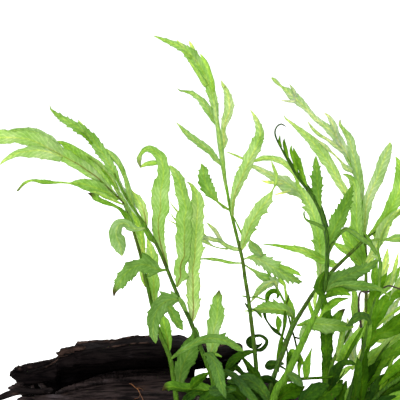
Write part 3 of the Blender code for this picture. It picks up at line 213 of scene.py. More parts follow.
TALL_MIDDLE_BLADES = (
    ((0.71, 0.55, 0.1, 0.3), 4, 0.2, 0.9, ((216, 122, 2), (215, 110, 3.5), (212.5, 98, 4),
     (209.5, 86, 4.5), (205, 75, 5), (199, 65, 5), (193, 57, 5.5), (186, 50, 4.5), (178, 45.5, 3.5),
     (170, 42.5, 2.5), (162, 39, 1.5), (154, 36, 0.2))),
    ((0.67, 0.7, 0, 0), -0.5, 0.1, 0.1, ((226.3, 190, 0.8), (223.3, 168, 2.2), (221, 150, 2.6),
     (218.8, 134, 2.3), (216.3, 118, 2.1), (214, 102, 1.8), (212, 90, 0.6))),
    (FRESH, 1, 0.2, 0.4, ((213, 92, 2.5), (211.5, 80, 2.3), (208.5, 70, 2), (205, 62, 2.2),
     (200.5, 54, 0.2))),
    (PALE, 1, -0.2, 0.3, ((197, 62, 2), (194, 52, 2), (191, 45, 1.5), (189, 41, 0.1))),
    ((0.7, 0.15, 0, 0.1), -1, 0.2, 0.3, ((206, 86, 2.5), (200, 76, 2.5), (195, 68, 2), (191, 63, 1.2),
     (189, 59, 0.2))),
    ((0.64, 0.15, 0, 0.1), 0, 0.1, 0.2, ((192, 58, 2), (186, 54, 1.5), (181, 51, 0.2))),
    (PALE, 0, 0.1, 0.2, ((185, 48, 1.5), (181, 44, 1), (177, 40, 0.2))),
    ((0.7, 0.7, 0, 0.1), -3, 0.3, 0.7, ((216, 124, 1.5), (212, 116, 3.5), (208, 109, 4), (203, 102, 3.6),
     (198, 97, 2.8), (192, 93, 2.2), (185, 91.3, 1.2), (180, 90.5, 0.8), (177.5, 88, 0.1))),
    ((1, 0.55, 0, 0.1), 4, -0.4, 0.6, ((221.5, 151, 1.2), (224, 141, 3.5), (223.3, 130, 2.4),
     (226, 120, 3.8), (229, 111, 4.8), (229, 101, 4.1), (226.5, 91, 2.6), (223, 85, 1.4),
     (221.3, 80.5, 0.1))),
    ((0.69, 0.9, 0.05, 0.2), -4, 0.4, 0.7, ((221.5, 165, 1), (215.5, 158.5, 2.5), (210, 151.5, 3.2),
     (204, 146.5, 3.6), (197, 141.5, 3.4), (190, 136.5, 3), (184, 130.5, 2), (180, 126, 1),
     (176.5, 122.5, 0.1))),
    ((0.78, 0.5, 0.2, 0.4), -5, -0.4, 0.8, ((232.5, 219, 1), (232.5, 208, 1.7), (233.5, 199, 2.6),
     (236.5, 189, 4.1), (241, 179, 5.3), (245, 169, 5.2), (249.5, 159.5, 5.5), (254.5, 150, 5),
     (258, 141, 5), (260.3, 133, 3.9), (258.5, 125, 3.1), (255, 117, 1.6), (250.3, 110, 0.1)),
     ((252.5, 140), (264, 142))),
    ((0.58, 0.6, 0, 0.2), -4, 0.3, 1.4, ((229.5, 210, 1), (223, 206.3, 1.3), (218, 202, 1),
     (214, 196.5, 3.2), (209, 190, 5.5), (206, 184, 6), (204, 177, 5), (203.5, 171, 3.8), (202.5, 167, 2),
     (201, 163.5, 0.1)), ((201, 190.5), (198.5, 182), (198, 177), (208, 172), (206.5, 168))),
    ((0.86, 0.45, 0.3, 0.3), -2, -0.3, 0.9, ((241.5, 250, 1), (244, 242, 3.6), (246.6, 234, 5.1),
     (250.4, 225, 6), (255.4, 215.8, 6.2), (261.5, 207, 6.3), (268, 199, 4.5), (271, 193.5, 2),
     (272.5, 190, 0.6), (275, 185, 1.2), (276.3, 178, 1.9), (275, 171, 1.8), (272.5, 165, 1),
     (271.3, 160.5, 0.1)), ((268, 213), (257.5, 230.5))),
    ((0.88, 1, 0.05, 0), 9, 0.3, 0.4, ((240, 250, 1.5), (232, 248, 2.2), (226, 245.5, 2), (220, 241, 2),
     (213, 239.5, 2), (205, 237.5, 2.2), (200, 236.5, 2.5), (189, 231, 2), (178, 225, 1),
     (168, 219.5, 0.1))),
    ((0.86, 0.9, 0.05, 0), 8, -0.2, 0.3, ((222, 242, 1.5), (218.5, 236, 2.2), (214.5, 230, 2.2),
     (210, 225.5, 1.2), (206, 222, 0.1))),
    (DUSKY, 6, 0.3, 0.2, ((228, 249, 1), (220, 248, 0.8), (213, 246, 0.9), (207, 242, 2.5),
     (202, 238.5, 2.4), (197, 236, 0.3))),
    (DUSKY, 11, 0.2, 0.1, ((208, 238, 0.8), (190, 222, 0.9), (178, 212, 0.9), (170, 202, 0.2))),
    (DUSKY, 12, 0.2, 0.1, ((205, 238, 0.8), (190, 228, 0.8), (177, 221, 0.8), (171, 214, 0.2))),
    ((0.65, 0.7, 0, 0), 3, 0.3, 0.2, ((242, 263, 0.8), (236, 263, 1), (230, 262.3, 1.5), (222, 260.5, 1.7),
     (213, 259, 1.8), (206, 258.7, 1), (200, 259, 0.8), (196, 259, 0.1))),
    ((0.61, 0.7, 0, 0.2), -7, 0.5, 1.9, ((243, 259.5, 0.8), (248, 258, 1), (253, 258, 3), (260, 260, 5.6),
     (267.5, 264.5, 6.6), (275.5, 269, 6), (283.5, 274, 5.4), (291, 278, 3.8), (297.5, 281, 2.4),
     (303.5, 282.2, 0.1)), ((281, 262), (274, 278.5), (287, 283.5))),
    ((0.73, 0.9, 0.05, 0.2), -5, -0.4, 0.8, ((262, 256, 2), (257, 250, 5), (252, 245, 4),
     (250, 240, 0.4))),
    (FRESH, -8, -0.2, 0.5, ((280, 266, 2.5), (290, 270, 3), (297, 273, 2), (301, 276, 0.3))),
    ((0.57, 0.8, 0.1, 0.2), -5, 0.3, 0.5, ((244.5, 264.5, 0.7), (250, 268.5, 1), (256, 272, 2),
     (261, 276, 3.5), (266, 278, 4), (270, 280, 0.4))),
    (DARKEST, 6, 0.3, 0.1, ((254, 350, 1.5), (261, 349.5, 2.2), (266, 345, 2), (266.7, 340, 1.8),
     (262, 336, 1.6), (256, 335.5, 1.8), (250, 338.5, 3), (248.8, 342.5, 3.6), (252.5, 346, 3),
     (258.5, 346.3, 1.8), (262.5, 343, 0.4))),
    ((0.2, 0.1, 0.2, 0.4), -2, 0.3, 0.4, ((249, 380, 0.8), (242, 373, 2), (235.5, 368, 3), (229, 371, 4),
     (224.5, 378, 2), (222, 383, 0.3))),
    (DEEP, -5, -0.4, 0.5, ((254, 351, 1), (245, 354, 3), (237, 358.5, 3.8), (230, 364, 3.5),
     (225.5, 371, 0.4))),
    (DARKEST, -4, 0.3, 0.5, ((268, 406, 3), (259, 392, 7), (251, 381, 6.5), (244, 375, 3),
     (239, 371, 0.4))),
    (DEEP, -6, 0.3, 0.5, ((250, 408, 2), (243, 397, 5), (235, 391, 5.5), (227, 389, 2.4),
     (221, 388.5, 0.3))),
    (DEEP, 3, 0.4, 0.5, ((262, 388, 2.5), (256, 377, 5), (250, 368, 3), (245, 361, 2), (241, 356, 0.6))),
    (DARKEST, 1, 0.3, 0.1, ((251, 311, 0.8), (250, 308, 1.6), (248, 306.5, 1.6), (244.5, 302.5, 0.2))),
    (DUSKY_DEEP, -1, 0.3, 0.1, ((250, 308, 0.6), (256, 311, 0.9), (262, 318.5, 0.2))),
    (MID, 3, 0.3, 0.1, ((247, 297.5, 0.5), (256, 297, 0.8), (262, 299, 0.8), (270, 301, 0.2))),
    (MID, 3, -0.3, 0.1, ((248, 298, 0.5), (245, 296.5, 0.8), (241, 296, 0.2))),
    (MID, 5, 0.3, 0.2, ((239.5, 247, 0.6), (242, 236, 0.9), (238, 226, 0.9), (233, 215, 0.2))),
)
TALL_MIDDLE = {
    "stalk": (
        (258, 411, -12), (257, 380, -10), (254.8, 352, -9), (251.7, 325, -8), (248.3, 298, -6),
        (245, 278, -5), (242.5, 260, -4), (236, 233, -1), (230.5, 210, 1), (227, 190, 3), (223, 165, 5),
        (220, 139, 8), (215, 112, 10),
    ),
    "radii": (1.2, 0.62),
    "skin": ((0, 0.22, 0.4), (0.5, 0.35, 0.35), (0.68, 0.5, 0.3), (0.8, 0.8, 0), (1, 0.85, 0)),
    "blades": TALL_MIDDLE_BLADES,
}
LEANING_RIGHT_BLADES = (
    (PALE, 4, 0.3, 0.5, ((442, 176, 2), (449, 163, 4.5), (453, 149, 5), (453, 134, 4.4), (449, 120, 3),
     (442, 108, 0.3))),
    ((0.6, 0.4, 0.1, 0.2), -18, 0.5, 0.6, ((297, 325.5, 0.7), (304, 324, 2.5), (312, 323.5, 6),
     (322, 324.5, 7.5), (332, 325, 6.5), (342, 326, 4.5), (350, 327, 2), (354, 327, 0.2))),
    (DUSKY, -3, -0.3, 0.4, ((306, 326, 3), (303, 333, 3), (301.5, 341, 2), (301, 348, 0.2))),
    (FRESH, -7, 0.3, 0.7, ((338, 264, 1), (334, 265, 3.2), (326, 260.5, 4), (318, 257, 4.5),
     (311, 253.5, 4.3), (303, 250, 3.5), (295, 248.5, 3.2), (287, 247, 2.2), (278, 245.5, 1.5),
     (268, 244.5, 0.9), (261, 244.2, 0.2))),
    ((0.66, 0.2, 0.1, 0.2), 3, 0.4, 0.6, ((368, 236, 1), (376.5, 227, 2.6), (385.5, 216, 4.6),
     (393, 204, 6.8), (399, 191, 7.6), (401, 179, 6.6), (400.5, 169, 5), (398.5, 162, 2.5),
     (395.8, 156.5, 0.2))),
    (PALE, 4, -0.4, 0.5, ((366, 262, 1), (371, 254, 2.5), (376, 246, 4.3), (380, 238, 5.8),
     (382.5, 231, 6.4), (386, 224, 5), (392, 215.5, 3), (400, 209, 0.6))),
    ((0.78, 0.1, 0.05, 0.2), 6, -0.4, 0.5, ((373, 236, 1.2), (380, 231.5, 3.4), (387, 225, 4),
     (393, 218, 2.6), (401, 212, 2.4), (410, 209, 3.4), (421, 208, 3), (434, 211, 0.3))),
    ((0.6, 0.6, 0.05, 0.2), -5, 0.3, 0.4, ((364, 241, 1.2), (371, 240.5, 1.2), (378, 239.5, 1),
     (384, 240, 1), (390, 239.5, 2.5), (397, 238.5, 4.5), (405, 239, 4.5), (413, 241, 2.5),
     (424, 246, 0.3))),
    (FRESH, 5, 0.3, 0.5, ((402, 211, 1.2), (412, 197, 4.6), (418, 182, 6), (421, 166, 5.6),
     (420, 152, 3.4), (416, 139, 0.3))),
    (MID, -4, -0.4, 0.5, ((418, 199.5, 1.2), (432, 199, 4.4), (446, 197, 5.4), (460, 198, 4.4),
     (473, 203, 0.3))),
    (FRESH, 3, 0.4, 0.5, ((434, 186, 1.2), (447, 181, 4), (460, 174, 5), (472, 165, 3.6),
     (482, 154, 0.3))),
)
LEANING_RIGHT = {
    "stalk": (
        (264, 411, -10), (273, 379, -6), (284, 350, -2), (293.3, 326, 1), (305, 306, 4), (316.5, 289, 7),
        (331.5, 272, 10), (349.5, 254, 14), (367, 237.5, 18), (385, 223, 22), (401, 210.5, 25),
        (420, 198, 28), (436, 184, 31), (448, 168, 33),
    ),
    "radii": (1.35, 0.6),
    "skin": ((0, 0.2, 0.15), (0.25, 0.3, 0.3), (0.5, 0.3, 0.5), (1, 0.6, 0.2)),
    "blades": LEANING_RIGHT_BLADES,
}
DARK_FRONT_BLADES = (
    ((0.3, 0.1, 0, 0.1), -1, 0.1, 0.2, ((281, 147, 1), (279.5, 141, 1.3), (280, 135, 0.2))),
    ((0.36, 0.1, 0, 0.1), 1, 0.1, 0.3, ((288, 158, 1.3), (285.5, 148, 1.9), (284, 142, 1.3),
     (284.5, 138.5, 0.2))),
    ((0.36, 0.1, 0, 0.1), -2, 0.2, 0.4, ((297, 172, 1.5), (292.5, 156, 1.6), (291, 150, 1.3),
     (291.5, 145.5, 0.2))),
    ((0.36, 0.1, 0, 0.1), 1, 0.2, 0.7, ((306, 187, 1.5), (302, 172, 2.3), (298.5, 162, 2.7),
     (295, 154, 2.1), (293.5, 147.5, 0.2))),
    ((0.42, 0.6, 0, 0.1), -3, 0.4, 1.5, ((320, 210, 1.3), (319, 196, 3), (318, 187, 4.8),
     (317.5, 178, 4.6), (317, 169, 3.3), (316, 161, 2), (316, 156, 0.3))),
    ((0.39, 0.55, 0, 0.1), -3, -0.4, 1.9, ((328, 246, 1), (331.5, 236, 4.2), (335, 227, 7), (340, 217, 7),
     (343.5, 208.5, 6), (347, 200.5, 4.2), (349.6, 192.5, 2.8), (352.3, 184.5, 0.2))),
    ((0.2, 0.2, 0, 0), 0, 0.1, 0.3, ((327.5, 262, 0.8), (327.3, 245, 2.2), (326, 228, 2.5),
     (320.5, 209, 2.4), (313, 194.5, 2.2), (304, 182, 1.8), (294, 168, 1.4), (284, 150, 0.7))),
    ((0.46, 1, 0.1, 0.1), -4, 0.3, 0.3, ((326.5, 232, 1), (321, 226.5, 1.8), (315, 223, 1.8),
     (309, 221, 1.5), (305, 218, 0.9), (304, 213, 0.8), (305.5, 210.5, 0.2))),
    ((0.24, 0.15, 0.05, 0.1), -3, 0.4, 0.6, ((325, 272, 1.5), (320, 281, 3.5), (319, 289, 3.5),
     (323, 297, 2.5), (328, 304, 0.2)), ((313.5, 287),)),
    ((0.38, 0.95, 0.1, 0.1), -6, 0.5, 1.3, ((325.5, 291, 1.5), (331, 284, 6), (338, 279.5, 7.5),
     (347, 275.5, 6.8), (356, 272, 5.8), (364, 269, 4.2), (372, 264.5, 2.6), (378, 259.5, 1),
     (382, 258.5, 0.2))),
    ((0.48, 0.9, 0.2, 0.1), -9, -0.5, 0.5, ((326, 292, 1), (334, 287, 3.5), (344, 285, 3.4),
     (353, 285.6, 4.6), (362, 286, 4.8), (371, 287, 3.4), (378, 288.5, 2), (384, 292, 1.1),
     (390.5, 297, 0.2))),
    ((0.45, 1, 0.1, 0.1), 3, 0.3, 0.3, ((327.5, 256, 1.1), (331, 247, 1.6), (338, 236, 1.4),
     (345, 229, 1.7), (352, 232, 2.2), (360, 237, 2.3), (367, 242, 2.2), (373, 248, 1.9),
     (378, 257, 0.4))),
    ((0.3, 0.15, 0.1, 0.2), -7, 0.3, 0.5, ((324, 298, 1), (334, 292, 4), (342, 291, 3.5), (348, 294, 1.4),
     (351, 295.5, 0.2))),
    (DUSKY_DEEP, -5, 0.3, 0.7, ((271, 404, 1.5), (264, 393, 5), (257, 385, 6.2), (249, 380, 6),
     (241, 379, 4), (234, 381, 3.6), (227, 381.5, 0.5))),
    ((0.46, 0.1, 0.05, 0.2), -5, 0.4, 0.3, ((315, 312, 0.8), (319, 318, 0.9), (323, 312, 1.4),
     (329, 306, 3.6), (336, 301, 3), (343, 299.2, 1.4), (349, 298.2, 0.2))),
    (DUSKY_MID, 3, 0.3, 0.3, ((326, 297, 0.8), (334, 292.5, 3.4), (344, 290, 3), (354, 289, 2.2),
     (362, 289.5, 1.2), (367, 291, 0.2))),
    ((0.52, 0, 0, 0), 2, 0.3, 0.2, ((312.5, 318, 0.6), (311.6, 311, 1.7), (309.8, 306, 1.6),
     (310.3, 301.5, 0.3))),
    ((0.72, 0, 0, 0), 3, 0.3, 0.2, ((315.5, 311, 0.6), (314.9, 302, 1.7), (316, 295, 1.6),
     (317.5, 290.5, 0.3))),
    (DEEP, -6, -0.4, 0.5, ((284, 380, 1.2), (292, 380, 2), (300, 379, 1.4), (318, 378, 1.2),
     (330, 377, 0.8), (335, 374, 0.2))),
    (MID, 2, 0.2, 0.1, ((300, 379, 0.8), (299, 370, 1.2), (299.5, 364, 2), (301, 360, 0.8))),
    ((0.3, 1, 0.1, 0.1), -7, 0.3, 0.6, ((285, 372, 0.8), (290, 374.5, 3), (295, 378, 4.5), (300, 383, 3),
     (303, 387, 0.3))),
    (MID, 1, 0.3, 0.3, ((306, 379, 2.4), (307, 370, 3.8), (307.6, 362, 3.2), (309.8, 354.5, 1.6),
     (312, 347.5, 0.2))),
    (MID, 4, 0.3, 0.5, ((304, 365, 0.4), (300, 360, 3), (295, 354, 4), (291, 349, 0.8))),
    (DARKEST, -3, 0.4, 0.5, ((298, 408, 2), (306, 397, 6), (314, 391, 7), (322, 387, 5), (329, 385, 0.4))),
    ((0.16, 0, 0.6, 0.3), 2, 0.3, 0.5, ((276, 404, 2), (284, 395, 6), (292, 391, 7.5), (299, 389, 5),
     (305, 386.5, 0.3))),
    ((0.4, 0.9, 0.1, 0.15), -5, 0.2, 0.1, ((379, 288, 0.9), (379.8, 275, 1.6), (380.5, 264, 1.7),
     (379.5, 257, 1.3), (378, 248, 1), (378.8, 240, 0.2))),
    (DUSKY_MID, 4, 0.2, 0.2, ((377, 256, 0.8), (371, 243, 1.5), (367, 236, 1.4), (362, 230.5, 0.2))),
    (DUSKY, 1, 0.3, 0.2, ((381, 261, 0.8), (378, 258, 2), (375, 256.5, 1.5), (371, 255, 0.2))),
)
DARK_FRONT = {
    "stalk": (
        (270, 411, -16), (277, 389, -19), (285, 378, -20), (294, 360, -23), (303, 341, -25),
        (313, 319, -27), (320, 302, -29), (325.5, 280, -31), (327.5, 252, -33), (325, 225, -35),
        (314, 199, -37), (297, 176, -39), (283, 151.5, -41), (275.5, 136, -42), (276, 128, -42.5),
        (281, 124, -43), (286.5, 127, -43.5),
    ),
    "radii": (2, 0.3),
    "skin": ((0, 0.45, 0), (0.33, 0.52, 0), (0.42, 0.25, 0), (1, 0.12, 0)),
    "blades": DARK_FRONT_BLADES,
}
SMALL_BEHIND_BLADES = (
    ((0.9, 0.85, 0, 0), -4, 0.4, 0.5, ((277, 288, 1), (274.5, 281.5, 4), (267.5, 284, 4.4),
     (261.5, 288.8, 3.6), (257, 293.5, 2.6), (253.5, 298, 1.4), (250.7, 302.3, 0.2))),
    ((0.74, 0.5, 0, 0.1), -3, 0.4, 0.9, ((294, 318, 1), (290, 313, 3.2), (284, 310.2, 5.4),
     (277, 309.2, 6), (269, 308.3, 5.6), (262, 308.7, 4.1), (256, 309.6, 2.2), (250, 310.7, 0.9),
     (243, 311, 0.1)), ((263, 303), (275, 300))),
    ((0.28, 0.1, 0.1, 0.15), 5, 0.3, 0.2, ((277, 298.5, 0.8), (278.3, 294.5, 1.6), (276, 291.3, 2.3),
     (271.5, 291.5, 2.6), (268, 295, 2.6), (267, 300, 2), (266.5, 304, 0.4))),
    ((0.62, 0.15, 0.1, 0.2), 4, -0.3, 0.5, ((294, 320, 1), (291.8, 311, 3), (289, 304, 3.4),
     (286.8, 297, 2), (285.3, 290, 1), (284.5, 285, 1.3), (281, 281, 2.4), (278, 278, 0.4))),
    ((0.1, 0.1, 1, 1), 3, 0.2, 0.1, ((286, 305, 0.6), (288, 299, 0.8), (289, 294, 0.2))),
    (MID, 2, 0.3, 0.6, ((278.5, 333, 0.8), (278.5, 328, 1.8), (278.3, 322, 3.2), (277.5, 315.5, 0.3))),
    (DARKEST, 5, 0.2, 0.1, ((288, 360, 0.8), (287, 350, 0.8), (285.5, 341.5, 0.8), (281, 335.5, 1),
     (276, 331, 2.2), (271, 326.5, 1.2), (266.5, 320, 1), (264.5, 314, 1.8), (263, 308, 0.2))),
    ((0.28, 0.1, 0.1, 0.15), 2, 0.2, 0.1, ((278, 372, 1), (278.5, 358, 2.2), (280.5, 346, 2.6),
     (282, 336, 1.1), (284.3, 327, 1.4), (285, 318, 1.8), (285, 311, 0.8))),
    (DEEP, 4, -0.2, 0.1, ((292, 330, 0.7), (294.5, 338, 0.9), (296.5, 347, 0.8), (299, 356, 0.6),
     (300, 362, 0.2))),
    (DEEP, 4, 0.2, 0.1, ((292.5, 330, 0.4), (290.5, 324, 0.7), (289, 318, 0.7), (287, 313, 0.2))),
    (DUSKY_MID, 3, 0.3, 0.2, ((257, 308, 0.6), (259.5, 313, 1.5), (262, 318, 0.3))),
    ((0.3, 0.1, 0.1, 0.15), 3, 0.3, 0.2, ((286, 372, 0.6), (288, 364, 2), (289.5, 356, 2.4),
     (290.5, 349, 0.4))),
    ((0.1, 0.1, 1, 1), 2, 0.2, 0.1, ((294.5, 337, 0.5), (298.5, 338.3, 0.8), (302.5, 338.2, 0.2))),
    (DARKEST, -3, 0.3, 0.2, ((278, 390, 0.8), (273, 382.5, 3), (266.5, 379, 3.6), (259.5, 380, 2.6),
     (254, 383, 0.4))),
    (DUSKY_DEEP, 2, 0.3, 0.1, ((284, 363.6, 0.8), (279, 363.6, 2.6), (274.5, 364.4, 4.2),
     (270, 365.4, 4.6), (266.6, 366, 3.4), (264.6, 366.2, 0.6))),
    (DUSKY_DEEP, -1, 0.2, 0.1, ((278, 365, 0.8), (283, 367.5, 0.9), (288, 371, 0.3))),
)
SMALL_BEHIND = {
    "stalk": (
        (270, 411, -11.5), (272, 397, -9), (274.5, 376, -1), (282, 350, 4), (290.5, 328, 7), (292, 318, 7),
        (286, 305, 7), (278, 290, 7), (272, 279, 7), (265.5, 268, 7),
    ),
    "radii": (0.9, 0.5),
    "skin": ((0, 0.3, 0.3), (1, 0.7, 0.1)),
    "blades": SMALL_BEHIND_BLADES,
}
PALE_MIDDLE_BLADES = (
    ((0.82, 0.45, 0, 0.1), 2, 0.3, 0.6, ((321, 285, 2), (320.5, 270, 4), (320.5, 255, 5),
     (319.5, 243, 5.5), (317.5, 230, 5.9), (314.5, 217, 5.9), (310, 205, 5.5), (304, 194, 3.5),
     (298, 185, 2), (296, 178, 0.3)), ((301, 204), (302, 209), (311, 241))),
    ((0.84, 0.5, 0.1, 0.1), 1, 0.3, 0.4, ((299, 187, 1.2), (297, 180, 1.5), (293, 172, 1.8),
     (287, 165.5, 2.6), (280, 160.7, 3), (272, 158.2, 2.6), (263, 158.5, 2.3), (256, 160.5, 1.5),
     (248, 160, 1.2), (243, 158.5, 1), (235, 155, 0.8), (227, 152, 0.2))),
    ((0.78, 0.8, 0, 0.1), -3, -0.4, 0.5, ((307, 203, 1.5), (300, 193, 4.5), (293, 187.5, 7),
     (285, 182.5, 7.5), (277, 178.5, 5), (269, 174, 3.2), (261, 170, 2.8), (255, 167, 2), (247, 166, 1.5),
     (241, 167, 1), (238, 167.3, 0.2))),
    (PALE, -2, 0.3, 0.3, ((284, 184, 3), (276, 183, 2), (268, 182, 1.5), (261, 180.5, 0.2))),
    ((1, 0.1, 0.05, 0.2), -2, 0.3, 0.3, ((297, 192, 3), (290, 191, 2), (282, 192.8, 1),
     (275, 194.5, 0.2))),
)
PALE_MIDDLE = {
    "stalk": (
        (276, 411, -9), (287, 378, -2), (296, 358, 4), (306, 335, 9), (316, 310, 13), (321, 290, 15),
        (320, 270, 17), (318, 250, 19), (314, 230, 21), (307, 206, 23), (298.5, 187, 24),
    ),
    "radii": (1.1, 0.55),
    "skin": ((0, 0.6, 0.1), (1, 0.8, 0.1)),
    "blades": PALE_MIDDLE_BLADES,
}
SOFT_BACK_BLADES = (
    (SOFT, 5, 0.3, 0.5, ((353, 168, 2), (350.5, 162, 3), (345.5, 151, 3.8), (338.5, 140.5, 4.6),
     (332, 132, 4.4), (324.5, 125.5, 3.1), (317, 120, 2.6), (311, 113.5, 2.5), (305, 107, 3),
     (299, 101.5, 4.5), (293, 96, 5), (287, 91, 2.8), (281.5, 86.5, 1), (277, 82.5, 1.8), (274, 79.5, 1.5),
     (271.5, 77.5, 0.2))),
    (SOFT, -1, 0.2, 0.2, ((296, 97, 3), (293.5, 90.5, 1.8), (291, 86.5, 1), (289.5, 84, 0.2))),
    (SOFT, 1, -0.2, 0.2, ((296, 101, 2.5), (289, 101.5, 1.4), (281, 100.2, 0.2))),
    (SOFT, 1, 0.3, 0.4, ((341, 146, 2), (338, 140, 2.5), (335, 130, 3.2), (331.5, 121, 2.5),
     (328, 115.5, 1.3), (324.5, 113, 0.2))),
    (SOFT, -1, -0.3, 0.3, ((344, 152, 2), (336, 146, 2.2), (328, 140, 1.6), (320, 135, 1.5),
     (313, 129, 1.4), (308, 122, 0.2))),
    ((0.82, 0.9, 0.4, 0), 3, 0.4, 0.5, ((362, 202, 2), (359, 183, 4.6), (356, 166, 4.6), (353.2, 154, 4),
     (351.2, 145, 3.8), (348, 136, 3.2), (343, 129, 1.8), (340, 124, 1.2), (340.3, 119.5, 0.2))),
    ((0.9, 0.5, 0, 0), -4, -0.4, 0.5, ((360.5, 200, 1.5), (349, 196, 3), (343.5, 189, 3.8),
     (338, 180, 4.3), (333.5, 171, 5), (328, 162, 5.8), (321.3, 153, 5.8), (314.5, 144.5, 4.8),
     (307, 136, 3.5), (298, 128.5, 2.4), (290, 122, 1.2), (285.5, 118.5, 0.6), (284.3, 115.5, 0.2))),
    (SOFT, -2, 0.3, 0.3, ((356, 174, 2), (352, 171, 2), (346, 168, 2.8), (341, 161.5, 1),
     (333, 153.5, 0.8), (326, 147.5, 2.2), (320, 142, 0.9), (313, 136.5, 0.4))),
    ((0.78, 0.8, 0.05, 0.2), -6, 0.4, 0.5, ((364.5, 236, 1.3), (365.5, 215, 3.2), (367, 203, 4.6),
     (370.5, 192, 4.6), (376, 181, 5.6), (379.7, 171, 5.4), (383, 162, 5.2), (386.5, 153, 4.2),
     (389.5, 146, 2.2), (390, 142.5, 0.3))),
    ((0.74, 0.4, 0, 0), -2, 0.3, 0.5, ((363.5, 250, 1), (359.5, 238, 4), (357, 226, 6.3),
     (356.5, 212, 6.5), (356.5, 198, 6), (355, 185, 4.8), (350.5, 177.5, 2.8), (345.5, 174.8, 1.2),
     (342.5, 174.5, 0.2))),
    (FRESH, -1, 0.3, 0.4, ((366, 268, 1), (363.5, 257, 2.6), (361, 247, 3.4), (357, 239, 3.6),
     (352.5, 232, 3.4), (349.5, 226, 0.4))),
    ((0.6, 0.1, 0.05, 0.2), -4, 0.4, 0.5, ((366, 269, 1.2), (358, 257, 5), (352, 246, 6), (346, 236, 4.5),
     (341, 230, 0.5))),
    (FRESH, -7, -0.4, 0.5, ((366, 275, 1.2), (356, 259, 4), (348, 251.5, 4), (340, 246.5, 2.8),
     (332, 242, 0.4))),
    (PALE, -4, 0.4, 0.5, ((366, 270, 1.2), (372, 257, 3.6), (377, 245, 4.4), (384, 234, 4.4),
     (390, 225, 0.5))),
    (PALE, 3, 0.3, 0.4, ((364.5, 300, 1), (374, 289, 2), (382, 275, 3), (385, 265, 3.2), (386.5, 257, 2.4),
     (387.7, 248.5, 0.2))),
    ((0.95, 0, 0, 0.1), 1, 0.2, 0.3, ((368, 296, 1), (377, 290, 1.5), (383.5, 278, 2.5), (386, 271, 2),
     (389, 265, 0.8), (390.5, 263.5, 0.2))),
    (PALE, 2, 0.3, 0.4, ((370, 300, 1), (382, 292, 1.8), (391, 284, 2.4), (395, 268, 2.4),
     (398.5, 252, 0.3))),
)
SOFT_BACK = {
    "stalk": (
        (346, 413, -8), (355, 378, 3), (364.5, 342, 11), (366, 305, 17), (366, 280, 21), (366, 258, 25),
        (364.5, 235, 28), (362.5, 210, 31), (359, 187, 34), (352.5, 167, 36), (343, 149, 38),
    ),
    "radii": (1.2, 0.6),
    "skin": ((0, 0.4, 0.4), (0.6, 0.5, 0.6), (1, 0.8, 0.2)),
    "blades": SOFT_BACK_BLADES,
}
LOWER_RIGHT_BLADES = (
    (DEEP, 5, 0.4, 0.5, ((327, 395, 2), (326.5, 380, 4.3), (326.8, 362, 5.2), (326.3, 345, 5.5),
     (325.5, 330, 5.7), (325.5, 315, 5.5), (324, 304, 3), (322, 299, 0.2))),
    ((0.45, 0.1, 0.9, 0.9), 7, -0.4, 0.5, ((332, 365, 1), (330, 350, 1.2), (329, 340, 1.5),
     (333, 328, 3.8), (337.3, 319, 5), (341, 312.8, 3.2), (345, 308.5, 0.2))),
    ((0.74, 0.15, 0, 0.1), -2, 0.4, 0.3, ((336, 361, 1.5), (338.3, 353, 2.8), (340, 345, 2.6),
     (341.5, 336, 2.8), (342.5, 328, 2.3), (343, 320, 0.2))),
    (FRESH, 1, 0.3, 0.4, ((351, 326, 1), (354, 318, 2.2), (354.5, 310, 3.3), (354.8, 300, 3),
     (354, 291, 2), (352, 284, 0.4))),
    (DUSKY_DEEP, -31, -0.4, 0.4, ((352, 342, 0.8), (362, 332, 1), (370, 324, 1.5), (366, 317, 3),
     (360, 316.5, 4), (354, 320, 3.8), (349, 324.5, 1.8), (345.5, 325.7, 0.2))),
    ((0.86, 0, 0, 0), 4, 0.3, 0.4, ((352, 370, 1), (356.5, 361, 2.2), (360.3, 354, 1.9), (364.5, 345, 1.6),
     (366, 333, 1.8), (366, 322, 2), (365, 312, 0.4))),
    (PALE, 5, 0.3, 0.3, ((356, 334, 1), (361, 325, 1.8), (363.5, 316, 2), (364.5, 308, 0.3))),
    (DEEP, -21, 0.3, 0.4, ((349, 412, 1), (353.5, 400, 3), (356.5, 388, 3.4), (357.5, 376, 3.8),
     (358.5, 366, 3), (357.5, 357, 0.3))),
    ((0.56, 0, 0, 0.1), -25, 0.4, 0.6, ((329, 388, 1), (335.5, 377, 2), (340.5, 364, 3.4),
     (346.3, 351.5, 4.6), (353, 341.5, 4.6), (359.5, 333, 3.6), (365, 327, 0.2))),
    (DARKEST, -29, 0.4, 0.5, ((327, 392, 1.2), (332, 383, 4), (335, 373, 5), (339, 365.5, 4),
     (345, 362.5, 2.8), (351, 363, 2.2), (357, 365, 0.3))),
    (DEEP, -27, 0.3, 0.2, ((337, 378, 0.8), (343, 365, 1.5), (349, 353, 1.7), (355, 342, 1.8),
     (361, 331, 1.2), (364, 327, 0.2))),
    (DEEP, -3, 0.4, 0.5, ((312, 408, 3), (320, 399, 7), (329, 392, 8), (337, 386, 5), (343, 380, 0.6))),
    ((0.74, 0.1, 0, 0.1), 3, 0.3, 0.3, ((336, 383, 0.8), (341, 375.5, 2), (345, 371, 2.8), (349, 368, 2),
     (352.5, 366, 0.3))),
    (MID, -2, 0.3, 0.3, ((345, 406, 1.5), (348.5, 396, 3.4), (350.5, 389, 2.4), (352.5, 382.5, 0.3))),
    (DEEP, -2, 0.3, 0.3, ((336, 408, 2), (340.5, 397, 4.6), (343.7, 389, 3.4), (346.5, 380.5, 0.4))),
    (DARKEST, -6, 0.2, 0.1, ((318, 382, 0.6), (326, 387.5, 0.9), (335, 382, 1), (341, 376.5, 0.7),
     (345, 370, 0.2))),
)
